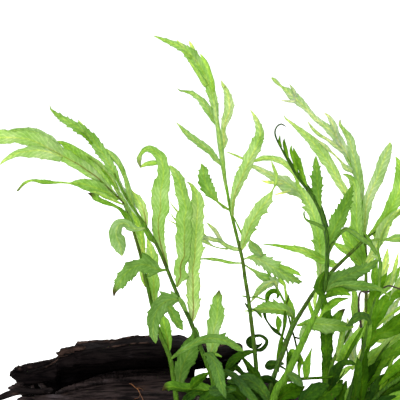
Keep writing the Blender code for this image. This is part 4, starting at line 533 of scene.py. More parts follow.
LOWER_RIGHT = {
    "stalk": (
        (328, 413, -11), (327.5, 387, -10), (331, 368, -9), (336, 355, -8), (342.5, 343.5, -7),
        (349.5, 331, -6), (354, 317, -5), (354, 303, -4), (352, 290, -3),
    ),
    "radii": (1.2, 0.5),
    "skin": ((0, 0.25, 0.3), (0.4, 0.5, 0.3), (1, 0.2, 0.1)),
    "blades": LOWER_RIGHT_BLADES,
}

# Right-hand fronds: (place, stalk, skin, rule, drawn blades). A rule makes the blades past the
# drawing's edge: (seed, first and last part of the stalk, how many, longest, widest half width,
# spread in degrees, finishes in turn).
RIGHT_FRONDS = (
    ("right_front",
     ((345, 413, -14), (353.5, 382, -19), (362.8, 352, -23), (368.5, 322, -26), (376, 296, -28)),
     ((0, 0.1, 0.1), (1, 0.4, 0.1)), None,
     (((0.12, 0, 0.1, 0.1), -2, 0.3, 0.4, ((361, 402, 2), (362, 385, 5), (363, 370, 4.8), (364, 355, 3),
       (364, 342, 2.4), (363, 332, 0.3))),
      ((0.1, 0, 0.2, 0.1), 2, -0.3, 0.4, ((351, 404, 3), (357, 392, 6), (363, 381, 6.5), (370, 372, 5),
       (377, 364, 2), (381, 359, 0.3))),
      (PALE, 5, 0.3, 0.3, ((354, 374, 1), (358, 362, 1.8), (360, 354, 1.6), (362, 346, 0.3))),
      ((0.48, 0, 0, 0.1), -3, 0.4, 0.4, ((363, 352, 1), (366, 342, 3), (367, 331, 4), (367.5, 320, 3),
       (368, 311, 0.3))),
      ((0.38, 0, 0.05, 0.1), 3, 0.3, 0.4, ((365, 338, 1), (368.5, 325, 3), (371, 311, 4), (373, 299, 5),
       (377, 288, 5), (383, 279, 2.5), (387, 273, 0.4))))),
    ("right_middle",
     ((353, 414, -12), (367, 380, -9), (383, 351, -7), (399, 326, -5), (414, 303, -3), (426, 284, -1)),
     ((0, 0.2, 0.2), (1, 0.6, 0.1)),
     (5, 0.62, 0.94, 5, 58, 6.4, 36, (FRESH, MID, PALE)),
     (((0.36, 0, 0.1, 0.1), -3, 0.3, 0.5, ((364, 354, 1), (370.5, 342.5, 3.4), (377, 334.5, 5.2),
       (384.5, 332.3, 6), (393, 327.3, 7.5), (404, 319.5, 8.2), (415, 312, 5), (424, 305, 0.4))),
      ((0.7, 0, 0.05, 0.1), 3, -0.3, 0.4, ((361, 376, 1.5), (369.5, 360, 6), (380, 351.5, 6.8),
       (391, 341.5, 6.2), (401, 331, 4.5), (409, 322, 0.4))),
      (FRESH, 2, 0.3, 0.3, ((363, 366, 1), (366, 354, 2.3), (369, 344, 2), (371, 336, 0.3))),
      ((0.3, 0.1, 0, 0.1), -4, 0.3, 0.4, ((372, 372, 1.5), (382, 364, 5), (391, 354, 6.5), (400, 347, 6.5),
       (412, 341, 4), (421, 336, 0.4))),
      ((0.4, 0, 0.1, 0.1), -3, 0.3, 0.4, ((364, 388, 2), (370, 377, 5.5), (377, 368, 5), (385, 362, 2),
       (390, 358, 0.3))))),
    ("right_low",
     ((362, 415, -15), (381, 392, -19), (403, 376, -22), (426, 362, -25), (448, 348, -27)),
     ((0, 0.1, 0.2), (1, 0.5, 0.1)),
     (7, 0.6, 0.94, 5, 54, 6.2, 38, (MID, DEEP, DUSKY_DEEP)),
     ((DEEP, -3, 0.3, 0.4, ((352, 406, 3), (366, 399, 6), (380, 396, 6), (394, 395, 5), (408, 393, 4),
       (416, 394, 0.4))),
      (MID, -4, 0.3, 0.4, ((384, 408, 2), (392, 400, 5), (400, 396, 5), (410, 391, 3), (418, 388, 0.3))),
      ((0.3, 0, 0.05, 0.1), 3, 0.3, 0.3, ((380, 392, 1), (386, 383, 4), (395, 376, 5), (405, 370, 4),
       (414, 364, 0.4))),
      (MID, 4, 0.3, 0.2, ((380, 390, 0.8), (385, 376, 1.4), (390, 366, 1.4), (394, 356, 0.4))),
      ((0.24, 0, 0.05, 0.1), -3, 0.3, 0.4, ((379, 385, 0.8), (387, 376, 3), (395, 368.5, 4.6),
       (404, 361, 5), (413, 355, 3), (420, 350, 0.3))),
      (DEEP, 2, 0.3, 0.4, ((378, 400, 1), (387, 391, 4), (396, 386, 4.4), (405, 381, 3), (412, 377, 0.3))),
      (DARKEST, 1, 0.3, 0.4, ((372, 402, 2), (377, 391, 6), (382, 382, 6), (389, 375, 3),
       (394, 370, 0.3))),
      (DARKEST, -4, -0.3, 0.4, ((364, 412, 2), (376, 404, 5), (389, 401, 6), (402, 401, 4),
       (412, 403, 0.4))))),
    ("right_back",
     ((360, 415, -7), (373, 377, 6), (390, 345, 16), (407, 316, 25), (421, 290, 32)),
     ((0, 0.2, 0.2), (1, 0.6, 0.1)),
     (11, 0.72, 0.95, 3, 54, 6.2, 36, (PALE, FRESH, MID)),
     (((0.36, 0, 0, 0.1), 2, 0.3, 0.4, ((371, 334, 1.5), (375.5, 322, 4.8), (380.3, 311, 5.8),
       (386.5, 300, 5.8), (397, 292.5, 4.6), (409, 289, 4), (420, 285, 0.4))),
      (FRESH, -3, 0.3, 0.3, ((377, 327, 0.8), (386, 318, 1.5), (392, 313.5, 1.3), (400, 307.5, 1.5),
       (408, 302, 0.3))),
      (FRESH, 4, 0.4, 0.4, ((379, 296, 1), (383, 289, 3), (388, 282, 4.5), (394, 275.5, 4.5),
       (399, 269, 1.4), (400, 266, 0.2))),
      (MID, 3, 0.3, 0.3, ((377, 296, 0.8), (375.5, 284, 3.5), (375, 273, 3.5), (376, 265, 2),
       (378, 259, 0.2))),
      (PALE, 3, -0.3, 0.4, ((390, 302, 1.5), (397, 288, 5), (404, 278, 6), (411, 268, 4),
       (416, 260, 0.4))))),
    ("far_right",
     ((379, 418, -13), (404, 366, -16), (432, 312, -16), (458, 262, -14), (478, 216, -12),
      (490, 178, -11)),
     ((0, 0.3, 0.2), (1, 0.7, 0.1)),
     (13, 0.3, 0.94, 10, 66, 6.6, 36, (FRESH, MID, FRESH, PALE)), ()),
    ("right_arching",
     ((388, 419, -11), (430, 384, -3), (470, 358, 4), (504, 342, 10), (530, 336, 14)),
     ((0, 0.3, 0.2), (1, 0.6, 0.1)),
     (17, 0.3, 0.94, 8, 56, 6.2, 38, (MID, FRESH, DEEP, FRESH)), ()),
    ("behind",
     ((337, 413, -6), (346, 400, -5), (354, 384, 0), (359, 364, 20), (372, 344, 42), (390, 328, 58),
      (410, 316, 68)),
     ((0, 0.3, 0.1), (1, 0.8, 0.1)),
     (23, 0.37, 0.94, 8, 54, 6.2, 36, (PALE, SOFT, FRESH, SOFT)), ()),
)
RULE_FILL = (0.25, 0.85, 1.0, 0.65, 0.05)
RULE_END_FILL = (0.3, 0.9, 0.85, 0.5, 0.05)
RULE_END_STEP = 0.23
RIGHT_RADII = (1.25, 0.5)

# Dry stalk: (across, down, behind), and its radii at foot and tip in mm.
DEAD_STALK = (
    (354, 414, -15.5), (359, 385, -15), (363, 355, -15), (361.5, 330, -16), (358.8, 308, -17),
    (360, 292.8, -17.5), (366, 292, -18), (373, 290.4, -18), (384, 287.4, -18), (391, 286, -18),
    (410, 293, -19),
)
DEAD_STALK_RADII = (0.9, 0.35)
DEAD_STALK_STEP = 2.0
DEAD_STALK_SIDES = 9

# Driftwood log, station by station: (across, down to the ridge, ridge behind, front foot behind,
# back foot behind), and its faces as (part of the way out, part of the drop still to go).
LOG_STATIONS = (
    (17, 399, -4, -26, 6), (23, 396, -2, -34, 13), (38, 396, 0, -41, 25), (58, 394, 2, -44, 31.4),
    (78, 389, 4, -47, 33.4), (98, 386, 5, -48, 34.3), (118, 383, 6, -48, 34.4),
    (138, 381, 7, -49, 34.4), (158, 379, 7, -50, 34.2), (180, 377, 7, -50, 33),
    (204, 378, 6, -50, 31), (228, 379, 6, -50, 30), (252, 380, 7, -49, 30), (274, 379, 8, -49, 30),
    (289, 387, 8, -48, 29), (308, 392, 8, -47, 28), (330, 395, 7, -45, 26), (354, 399, 6, -44, 25),
    (378, 404, 5, -42, 22), (402, 409, 3, -39, 19), (420, 417, 0, -35, 14), (434, 427, -4, -30, 8),
    (440, 434, -6, -27, 4),
)
LOG_UPPER_FACE = ((0.22, 0.94), (0.55, 0.70), (0.84, 0.26))
LOG_LOWER_FACE = ((0.30, 0.86), (0.62, 0.56), (0.90, 0.20))
LOG_BACK = ((0.25, 0.94), (0.55, 0.76), (0.85, 0.42), (0.98, 0.12))
LOG_ROWS = 330
LOG_AROUND = 132
WOOD_RELIEF = 0.8
LEDGE_HALF = 5.0 * MM
LEDGE_MOST = 0.66
RHIZOME_ROOM = 3.76 * MM

# Bark slab: (across, down to its top, lip behind, back behind, down to its foot), and its section.
SLAB_STATIONS = (
    (10.6, 372.3, 12, 17, 372), (12.4, 370.9, 11, 23, 371.6), (14.4, 369.5, 10.5, 27, 372.6),
    (16.4, 368.2, 10, 30, 375), (18, 367.4, 9.5, 32, 379.5), (21, 366, 9, 34, 391), (32, 363, 8, 38, None),
    (46, 359.6, 8, 41, None), (57.6, 357.4, 7, 42, None), (61, 349, 7, 43, None), (75, 345.2, 6, 43, None),
    (77.5, 342, 6, 43, None), (84, 340.3, 5, 44, None), (110, 339, 4, 45, None), (134, 335.5, 3, 45, None),
    (160, 335, 4, 45, None), (182, 334.3, 6, 43, 398), (193.5, 339, 7, 42, 394),
    (195, 339.5, 7, 42, 364.5), (206, 344, 8, 40, 363.5), (210, 344, 8, 39.5, 366), (222, 344, 9, 37, 367),
    (235, 342, 12, 33, 364), (242.6, 345.5, 16, 28, 355),
)
SLAB_PROFILE = (
    (0, 1, 0, -1.15), (0, 1, 0, -0.6), (0.14, 1, 0, -0.25), (0.55, 1, 0, 0), (0.8, 0.92, 0, 0),
    (1, 0.6, 0, 0), (1, 0, -0.3, 0), (1, 0, -1.6, 0), (1, 0.42, -1.5, 0), (0.62, 0.66, 0, 0),
    (0.3, 1, 0, -1.5),
)
SLAB_WALL = 6.0 * MM
SLAB_ROUGHNESS = 0.7 * MM
SLAB_ROWS = 420
SLAB_AROUND = 96
CREST_DEPTH = 1.3 * MM
CREST_STEP = 4.4 * MM
CREST_JAG = 0.45 * MM

# Torn strips and ridges on the wood: how pale, and their way (across, down, behind, half width).
# Their paleness is partly torn wood and partly painted highlight along the lit lip of the slab and
# along the log's front edge.
SPLINTER_STEP = 1.2
SPLINTER_SIDES = 9
SLAB_SPLINTERS = (
    (0.9, ((84, 347.5, 6.5, 4), (73, 349.6, 6.5, 3.6), (65, 351.3, 6.5, 3), (59.5, 353.4, 6.5, 2.5),
           (55.3, 352.3, 6.5, 0.5))),
    (0.9, ((60, 358, 6.8, 0.4), (56, 361, 7, 0.9), (50, 365, 7.6, 0.8), (43, 368.6, 7.8, 1),
           (33, 372.6, 8, 1.1), (24, 374, 9, 0.7), (16, 374.6, 10.5, 0.3))),
    (0.85, ((57, 357, 6.6, 0.5), (67, 356, 6.6, 0.9), (80, 353.6, 5.8, 0.8), (100, 349.3, 5, 0.9),
            (124, 345, 4, 1), (142, 343, 3.4, 0.9), (151, 343.5, 3, 0.9), (157, 347.5, 3, 1),
            (168, 350.5, 3.6, 0.9), (182, 352.5, 5, 0.4))),
    (0.6, ((13.5, 371, 8.6, 0.8), (20, 369.4, 7, 2.2), (30, 367.2, 6.2, 2.7), (42, 364.4, 5.6, 2.4),
           (53, 361.2, 5.6, 1))),
    (0.3, ((70, 365, 6.2, 0.5), (90, 361, 5.6, 1), (112, 357.5, 4.8, 1.2), (136, 354, 4.6, 0.5))),
    (0.3, ((24, 382, 9, 0.6), (34, 379, 8.4, 1.6), (46, 376.5, 8, 1.8), (60, 374.5, 7.6, 0.6))),
)
LOG_SPLINTERS = (
    (0.55, ((40, 378.5, 9, 1.2), (33, 380.5, 8, 1.9), (25, 383.5, 6, 2.6), (17.5, 386, 4, 3.6),
            (12.5, 387.6, 3, 2.8), (9.4, 388, 3, 1.7), (7.2, 387.8, 3, 0.4))),
    (0.5, ((38, 397, 1, 1.6), (34, 391, 3, 1.8), (32.5, 385, 6, 1.6), (33, 380, 9, 0.4))),
    (0.35, ((26, 398, 1, 2.2), (22, 392, 3, 2.6), (19.5, 386.5, 6, 2.2), (18.5, 381, 9, 0.4))),
    (0.35, ((50, 393, 2, 2), (44, 388, 4, 2.6), (40, 383, 7, 2.2), (38, 379, 9, 0.4))),
    (0.42, ((56, 394, 3, 2), (66, 390, 4.5, 3.2), (80, 386.5, 6, 3.6), (100, 382.3, 7.5, 3.6),
            (128, 380, 8.5, 3.4), (152, 378.6, 8.5, 3.4), (176, 377, 8.5, 2.4))),
    (0.38, ((68, 388.5, 8, 1.8), (84, 383.5, 9.5, 3), (104, 378.4, 11.5, 3.4), (128, 376, 12.5, 3.4),
            (152, 374.5, 12.5, 3.2), (176, 373, 12.5, 2.2))),
    (0.34, ((88, 380.5, 13, 1.6), (106, 375.4, 15, 2.8), (130, 372.6, 16, 3), (154, 371.2, 16, 2.8),
            (176, 370, 16, 1.6))),
)

# Thin root at the log's left end: (across, down, behind, half width).
LEFT_ROOT = (
    (52, 390, 3, 2.6), (40, 391.4, 1.5, 3.3), (28, 391.5, 1, 3.6), (18, 391.5, 1, 3.9),
    (9, 394, 1, 3.4), (0, 397.5, 0, 3.2), (-12, 402, 0, 2.8), (-24, 408, 0, 2.3),
    (-33, 415, 1, 1.6), (-39, 425, 2, 0.8),
)
LEFT_ROOT_FULLNESS = 0.94
LEFT_ROOT_ROWS = 130
LEFT_ROOT_SIDES = 26
LEFT_ROOT_RELIEF = 0.28

# Rhizome with the stubs of old fronds (across, low end, lean, top), and its roots.
RHIZOME_ROUTE = (
    (160, 412, -14), (178, 411, -14), (198, 411, -15), (218, 411, -15), (240, 411, -14),
    (262, 411, -14), (284, 411, -13), (306, 412, -12), (328, 413, -12), (350, 414, -13),
    (368, 416, -14), (386, 419, -14), (400, 421, -15),
)
RHIZOME_RADIUS = 3.2 * MM
RHIZOME_ROWS = 90
RHIZOME_SIDES = 18
RHIZOME_LUMP = 0.4 * MM
RHIZOME_PLACES = 61
NEAR_RHIZOME = 5.5 * MM
NEAR_ALONG = 3.0 * MM
RHIZOME_STUBS = (
    (188, 412, 1, 398), (200, 412, -2, 397), (232, 412, -3, 396), (247, 412, 2, 395),
    (312, 413, -2, 398), (391, 420, 1, 409),
)
ROOT_ROUTES = {
    "root_left": ((158, 414, -13), (151, 412, -12), (144, 400, -6), (137, 390, 0), (129, 380, 4)),
    "root_middle": ((226, 418, -19), (231, 426, -27), (227, 434, -35), (233, 444, -43)),
    "root_right": ((318, 420, -16), (312, 428, -25), (316, 437, -34), (309, 447, -41)),
}
ROOT_RADIUS = 0.45 * MM
ROOT_ROWS = 40
ROOT_SIDES = 8
ROOT_BRANCHES = 5
BRANCH_RADIUS = 0.2 * MM
BRANCH_ROWS = 14
HAIR_COUNT = 46
HAIR_SPAN = (162, 398)
HAIR_RADIUS = 0.22 * MM
HAIR_ROWS = 12
HAIR_SIDES = 5
THREAD_HEIGHT = 0.15 * MM
STUB_RADII = (1.5, 1.0)
STUB_ROWS = 9
STUB_SIDES = 10


def between(first, second, part):
    """Value at a part of the way from the first to the second."""
    return first + (second - first) * part


def spot(across, down, behind):
    """Place a point of the front drawing on its line of sight, `behind` mm past the sheet."""
    depth = behind * MM
    spread = (1 + depth / EYE_DISTANCE) * DRAWING_STEP
    flat = RIGHT * (across - DRAWING_CENTRE) + UP * (DRAWING_CENTRE - down)
    return SHEET_CENTRE + AHEAD * depth + flat * spread


def smooth_point(points, place):
    """Point on the smooth curve through the points, for a place counted in points."""
    last = len(points) - 1
    index = min(int(place), last - 1)
    part = place - index
    before = points[max(index - 1, 0)]
    start = points[index]
    end = points[index + 1]
    after = points[min(index + 2, last)]
    return tuple(
        b + 0.5 * part * (c - a + part * (2 * a - 5 * b + 4 * c - d + part * (3 * (b - c) + d - a)))
        for a, b, c, d in zip(before, start, end, after)
    )


def resampled(points, count):
    """The same smooth curve with another number of points."""
    last = len(points) - 1
    return [smooth_point(points, last * index / (count - 1)) for index in range(count)]


def evenly_spaced(points, step):
    """Points on the smooth curve through the points, one step apart, and the curve's length."""
    fine = resampled(points, (len(points) - 1) * 10 + 1)
    travelled = [0.0]
    for here, there in zip(fine, fine[1:]):
        travelled.append(travelled[-1] + math.hypot(there[0] - here[0], there[1] - here[1]))
    length = travelled[-1]
    count = max(4, round(length / step))
    spaced = []
    cursor = 0
    for index in range(count + 1):
        wanted = length * index / count
        while cursor < len(fine) - 2 and travelled[cursor + 1] < wanted:
            cursor += 1
        run = max(travelled[cursor + 1] - travelled[cursor], 1e-9)
        part = min((wanted - travelled[cursor]) / run, 1.0)
        spaced.append(tuple(between(a, b, part) for a, b in zip(fine[cursor], fine[cursor + 1])))
    return spaced, length


def nearest_on(way, across, down):
    """Gap from a place of the drawing to a way, and how far behind the sheet the way runs there."""
    found = []
    for start, end in zip(way, way[1:]):
        run = Vector((end[0] - start[0], end[1] - start[1]))
        part = (Vector((across - start[0], down - start[1]))).dot(run) / run.length_squared
        part = min(max(part, 0.0), 1.0)
        side = across - between(start[0], end[0], part)
        rise = down - between(start[1], end[1], part)
        found.append((math.hypot(side, rise), between(start[2], end[2], part)))
    return min(found)


def foot_depth(ways, across, down):
    """Depth at which a blade starts: on the stalk where that is near, or on the nearest blade."""
    on_stalk = nearest_on(ways[0], across, down)
    if on_stalk[0] < STALK_REACH or len(ways) == 1:
        return on_stalk[1]
    return min(nearest_on(way, across, down) for way in ways)[1]


# Marks that a frond's mesh carries, the greens of a leaf by its tone, and other colours.
MARKS = ("along", "across", "edge", "tone", "underside_and_sheen", "dry", "rib")
LEAF_GREENS = (
    (0.0, (0.016, 0.062, 0.002)), (0.2, (0.050, 0.150, 0.003)), (0.35, (0.115, 0.290, 0.010)),
    (0.5, (0.190, 0.400, 0.032)), (0.68, (0.315, 0.540, 0.095)), (0.85, (0.440, 0.635, 0.200)),
    (1.0, (0.575, 0.715, 0.330)),
)
GREY_GREEN = (0.24, 0.36, 0.24, 1)
BROWN_RIB = (0.12, 0.085, 0.02, 1)
BROWN_SPOT = (0.11, 0.075, 0.02, 1)
DRY_LEAF = (0.055, 0.042, 0.014, 1)
STALK_DARK = (0.010, 0.040, 0.002, 1)
STALK_BRIGHT = (0.17, 0.38, 0.022, 1)
STALK_BROWN = (0.042, 0.036, 0.007, 1)
WOOD_DARK = (0.0022, 0.0016, 0.0018, 1)
WOOD_BROWN = (0.034, 0.024, 0.0235, 1)
WOOD_GREY = (0.090, 0.078, 0.090, 1)
WOOD_SHADE = (0.0016, 0.0013, 0.0015, 1)
# Pale pinkish rims: torn wood, and painted highlight on lit edges.
WOOD_RIM_AND_HIGHLIGHT = (0.066, 0.040, 0.032, 1)


def marked_body():
    """Empty mesh whose corners carry the marks that the leaf finishes read."""
    body = bmesh.new()
    return body, {mark: body.verts.layers.float.new(mark) for mark in MARKS}


def laid_grid(body, rows, columns):
    """Flat grid of faces, given back as rows of its corners."""
    made = bmesh.ops.create_grid(body, x_segments=columns, y_segments=rows, size=1.0)["verts"]
    table = [[None] * (columns + 1) for row in range(rows + 1)]
    for vert in made:
        row = round((vert.co.y + 1) / 2 * rows)
        column = round((vert.co.x + 1) / 2 * columns)
        table[row][column] = vert
    return table


def welded_seam(body, table):
    """Join a rolled grid's first and last columns."""
    seam = [row[0] for row in table] + [row[-1] for row in table]
    bmesh.ops.remove_doubles(body, verts=seam, dist=1e-7)


def add_tube(body, places, radii, sides, paint):
    """Round tube along places in space, drawn to a point at both ends."""
    rows = len(places) - 1
    table = laid_grid(body, rows, sides)
    side_way = None
    for row, centre in enumerate(places):
        ahead = (places[min(row + 1, rows)] - places[max(row - 1, 0)]).normalized()
        if side_way is None:
            side_way = ahead.cross(AHEAD)
            if side_way.length < 0.1:
                side_way = ahead.cross(RIGHT)
        side_way = (side_way - ahead * side_way.dot(ahead)).normalized()
        other_way = ahead.cross(side_way)
        for column, vert in enumerate(table[row]):
            turn = 2 * math.pi * (column % sides) / sides
            vert.co = centre + (side_way * math.cos(turn) + other_way * math.sin(turn)) * radii[row]
            if paint:
                paint(vert, row / rows)
    welded_seam(body, table)
    for row, other in ((0, 1), (rows, rows - 1)):
        ring = [vert for vert in table[row] if vert.is_valid]
        tip = places[row] + (places[row] - places[other]).normalized() * radii[row] * 0.5
        bmesh.ops.pointmerge(body, verts=ring, merge_co=tip)


def tooth_reach(place, teeth):
    """How far the margin stands out at a place along it, for its teeth (place, height)."""
    reach = 0.0
    for tip, height in teeth:
        if place <= tip:
            rise = max(TOOTH_RISE, height * 1.3)
            part = max(0.0, 1 - (tip - place) / rise) ** 1.4
        else:
            part = max(0.0, 1 - (place - tip) / TOOTH_FALL)
        reach = max(reach, height * part)
    return reach


def margin_teeth(points, length, height, spikes, luck):
    """Teeth of both margins of a blade: {side: [(place along, height)]}."""
    rows = len(points) - 1
    step = length / rows
    widest = max(point[2] for point in points)
    teeth = {1: [], -1: []}
    near, far = (4.5, 7.5) if height >= 1 else (6, 13)
    for side in teeth:
        place = luck.uniform(4, 9)
        while place < length - 4:
            row = round(place / step)
            size = height * luck.uniform(0.6, 1.5) * min(1.0, points[row][2] / 3.5)
            if size > 0.15 and widest > 2:
                teeth[side].append((row * step, size))
            place += luck.uniform(near, far)
    for across, down in spikes:
        gaps = [math.hypot(across - point[0], down - point[1]) for point in points]
        row = gaps.index(min(gaps))
        here = points[row]
        past = points[min(row + 1, rows)]
        before = points[max(row - 1, 0)]
        cross = (past[0] - before[0]) * (down - here[1]) - (past[1] - before[1]) * (across - here[0])
        side = -1 if cross > 0 else 1
        teeth[side].append((row * step, max(1.3, (gaps[row] - here[2]) * 1.2)))
    return teeth


def add_blade(body, marks, blade, ways, luck):
    """Add one leaf blade as a single sheet of faces, and give back its way with its depths."""
    finish, tip_behind, turn, tooth_height, way = blade[:5]
    spikes = blade[5] if len(blade) > 5 else ()
    foot = foot_depth(ways, way[0][0], way[0][1])
    points, length = evenly_spaced(way, BLADE_STEP)
    rows = len(points) - 1
    columns = BLADE_COLUMNS if max(point[2] for point in points) > NARROW_BLADE else NARROW_COLUMNS
    teeth = margin_teeth(points, length, tooth_height, spikes, luck)
    deep = [foot + tip_behind * math.sin(row / rows * math.pi / 2) for row in range(rows + 1)]
    places = [spot(point[0], point[1], depth) for point, depth in zip(points, deep)]
    table = laid_grid(body, rows, len(columns) - 1)
    fold = luck.choice((-1, -1, 1)) * luck.uniform(0.1, 0.48)
    ripple = luck.uniform(0.06, 0.17)
    wave = luck.uniform(14, 24)
    phase = luck.uniform(0, 6)
    shade = luck.uniform(-0.06, 0.06)
    for row in range(rows + 1):
        before = places[max(row - 2, 0)]
        past = places[min(row + 2, rows)]
        ahead = (past - before).normalized()
        sway = 0.12 * math.sin(row * BLADE_STEP / 19 + phase)
        here_turn = turn * min(1.0, row / (0.25 * rows)) + sway
        out = (ahead.cross(AHEAD) + AHEAD * here_turn).normalized()
        wide = math.sqrt(1 + here_turn ** 2)
        lift = ahead.cross(out).normalized()
        place = length * row / rows
        half = max(points[row][2], 0.12)
        for part, vert in zip(columns, table[row]):
            side = 1 if part > 0 else -1
            reach = tooth_reach(place, teeth[side]) * abs(part) ** 3
            swell = 1 + 0.22 * noise.noise(Vector((place / 7, side * 9 + phase * 3, 0.5)))
            width = (part * half * swell + side * reach) * wide * DRAWING_STEP
            rise = half * DRAWING_STEP * (
                fold * abs(part) ** 1.7
                + ripple * part * part * math.sin(place * 2 * math.pi / wave + phase + side * 1.3)
            )
            if part == 0:
                rise += RIB_HEIGHT * min(1.0, half / 4)
            vert.co = places[row] + out * width + lift * rise + ahead * (reach * 0.5 * DRAWING_STEP)
            vert[marks["along"]] = place * 0.5
            vert[marks["across"]] = part * half * 0.5
            vert[marks["edge"]] = abs(part)
            # Tone set per blade: the leaf's own green, with painted shade on low blades and painted
            # brightness on high ones.
            vert[marks["tone"]] = finish[0] + shade
            # Bluish mark: grey-blue undersides, and a painted bluish sheen on curled blades.
            vert[marks["underside_and_sheen"]] = finish[1]
            vert[marks["dry"]] = finish[2] * max(0.0, (place / length - 0.78) / 0.22)
            vert[marks["rib"]] = finish[3] * min(1.0, max(0.0, 1.5 - 2.4 * place / length))
    return [(point[0], point[1], depth) for point, depth in zip(points, deep)][::3]


def finished(body, name, materials, nodes):
    """Put a mesh in the scene as a smooth piece that stands for its nodes, if any."""
    bmesh.ops.recalc_face_normals(body, faces=list(body.faces))
    mesh = bpy.data.meshes.new(name)
    body.to_mesh(mesh)
    body.free()
    mesh.shade_smooth()
    for material in materials:
        mesh.materials.append(material)
    piece = bpy.data.objects.new(name, mesh)
    bpy.context.scene.collection.objects.link(piece)
    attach(piece, "root")
    if nodes:
        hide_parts(*nodes)
    return piece


def make_frond(place, stalk, radii, skin, blades, seed, materials):
    """Make one frond, named for its place in the plant: its stalk and its blades."""
    luck = random.Random(seed)
    body, marks = marked_body()
    ways = [stalk]
    for blade in blades:
        ways.append(add_blade(body, marks, blade, ways, luck))
    bmesh.ops.solidify(body, geom=list(body.faces), thickness=BLADE_THICKNESS)
    for face in body.faces:
        face.material_index = 1
    route, length = evenly_spaced(stalk, STALK_STEP)
    count = len(route)
    thickness = [
        between(radii[0], radii[1], index / (count - 1)) * MM * (1 + 0.05 * math.sin(index * 1.7))
        for index in range(count)
    ]

    def paint(vert, part):
        after = next(index for index, stop in enumerate(skin) if index and stop[0] >= part)
        start = skin[after - 1]
        end = skin[after]
        share = (part - start[0]) / (end[0] - start[0])
        vert[marks["along"]] = part * length * 0.5
        vert[marks["tone"]] = between(start[1], end[1], share)
        vert[marks["dry"]] = between(start[2], end[2], share)

    add_tube(body, [spot(*point) for point in route], thickness, STALK_SIDES, paint)
    finished(body, "leaves_" + place, materials, ["frond_" + place])


def rule_blades(stalk, seed, first, final, count, longest, widest, spread, finishes):
    """Blades on both sides of a stalk, short near its foot and its tip, and one at its end."""
    luck = random.Random(seed)
    last = len(stalk) - 1
    blades = []
    for index in range(count):
        part = between(first, final, index / (count - 1))
        side = 1 if index % 2 else -1
        across, down = smooth_point(stalk, last * part)[:2]
        past = smooth_point(stalk, min(last * part + 0.1, last))
        heading = math.atan2(down - past[1], past[0] - across)
        size = 0.62 + 0.38 * math.sin(math.pi * min(part * 1.05, 1.0))
        length = longest * size * luck.uniform(0.85, 1.1)
        width = widest * size * luck.uniform(0.85, 1.1)
        lean = side * math.radians(spread * luck.uniform(0.8, 1.2))
        bend = -lean * luck.uniform(0.3, 0.9)
        way = []
        for step, fill in enumerate(RULE_FILL):
            way.append((across, down, width * fill))
            turn = heading + lean + bend * step / 4
            across += math.cos(turn) * length / 4
            down -= math.sin(turn) * length / 4
        tip_behind = luck.uniform(-5, 5)
        finish = finishes[index % len(finishes)]
        blades.append((finish, tip_behind, luck.uniform(-0.5, 0.5), 0.7, tuple(way)))
    across, down = smooth_point(stalk, last * 0.93)[:2]
    end = stalk[-1]
    heading = math.atan2(down - end[1], end[0] - across)
    way = []
    for fill in RULE_END_FILL:
        way.append((across, down, widest * fill))
        across += math.cos(heading) * longest * RULE_END_STEP
        down -= math.sin(heading) * longest * RULE_END_STEP
        heading += luck.uniform(-0.12, 0.22)
    blades.append((finishes[0], luck.uniform(-4, 4), 0.2, 0.7, tuple(way)))
    return blades


def ground_place(across, behind):
    """Place on the ground in a drawing column, under the point that lies as far behind the sheet."""
    above = spot(across, DRAWING_CENTRE, behind)
    return Vector((above.x, above.y - SHEET_CENTRE.z * math.sin(EYE_ELEVATION), 0.0))


def ledge_place(across, crest):
    """Middle of the ledge that carries the rhizome, at one station of the log."""
    first = RHIZOME_ROUTE[0]
    last = RHIZOME_ROUTE[-1]
    here = min(max(across, first[0]), last[0])
    after = next(index for index, point in enumerate(RHIZOME_ROUTE) if point[0] >= here)
    start = RHIZOME_ROUTE[max(after - 1, 0)]
    end = RHIZOME_ROUTE[max(after, 1)]
    part = (here - start[0]) / (end[0] - start[0])
    middle = spot(here, between(start[1], end[1], part), between(start[2], end[2], part))
    return Vector((crest.x, middle.y, min(middle.z - RHIZOME_ROOM, crest.z * LEDGE_MOST)))


def face_between(start, end, profile):
    """Points of one face of the log, between two places at the same station."""
    return [
        Vector((start.x, between(start.y, end.y, out), end.z + (start.z - end.z) * high))
        for out, high in profile
    ]


def log_ring(station):
    """One cross-section of the log: flat underside, ledged front, ridge and rounded back."""
    across, down, ridge, front, back = station
    crest = spot(across, down, ridge)
    ledge = ledge_place(across, crest)
    ledge_back = ledge + Vector((0, LEDGE_HALF, 0))
    ledge_front = ledge - Vector((0, LEDGE_HALF, 0))
    front_foot = Vector((crest.x, ground_place(across, front).y, 0.0))
    back_foot = Vector((crest.x, ground_place(across, back).y, 0.0))
    ring = [crest] + face_between(crest, ledge_back, LOG_UPPER_FACE) + [ledge_back, ledge_front]
    ring += face_between(ledge_front, front_foot, LOG_LOWER_FACE) + [front_foot, back_foot]
    return ring + face_between(crest, back_foot, LOG_BACK)[::-1]


def slab_ring(station, luck):
    """One cross-section of the bark slab: a wall that curls forward at its top like a wave."""
    across, top, lip, back, foot = station
    high = spot(across, top, between(lip, back, 0.5))
    lip_y = ground_place(across, lip).y
    back_y = ground_place(across, back).y
    low = 0.0 if foot is None else spot(across, foot, back).z
    rise = high.z - low
    wall = min(SLAB_WALL, rise * 0.3)
    ring = []
    for out, up, walls_back, walls_up in SLAB_PROFILE:
        place = Vector((high.x, between(lip_y, back_y, out), low + rise * up))
        place += Vector((0, walls_back, walls_up)) * wall
        if 0.1 < up < 1 or walls_up:
            place.z += luck.uniform(-SLAB_ROUGHNESS, SLAB_ROUGHNESS)
        ring.append(place)
    return ring


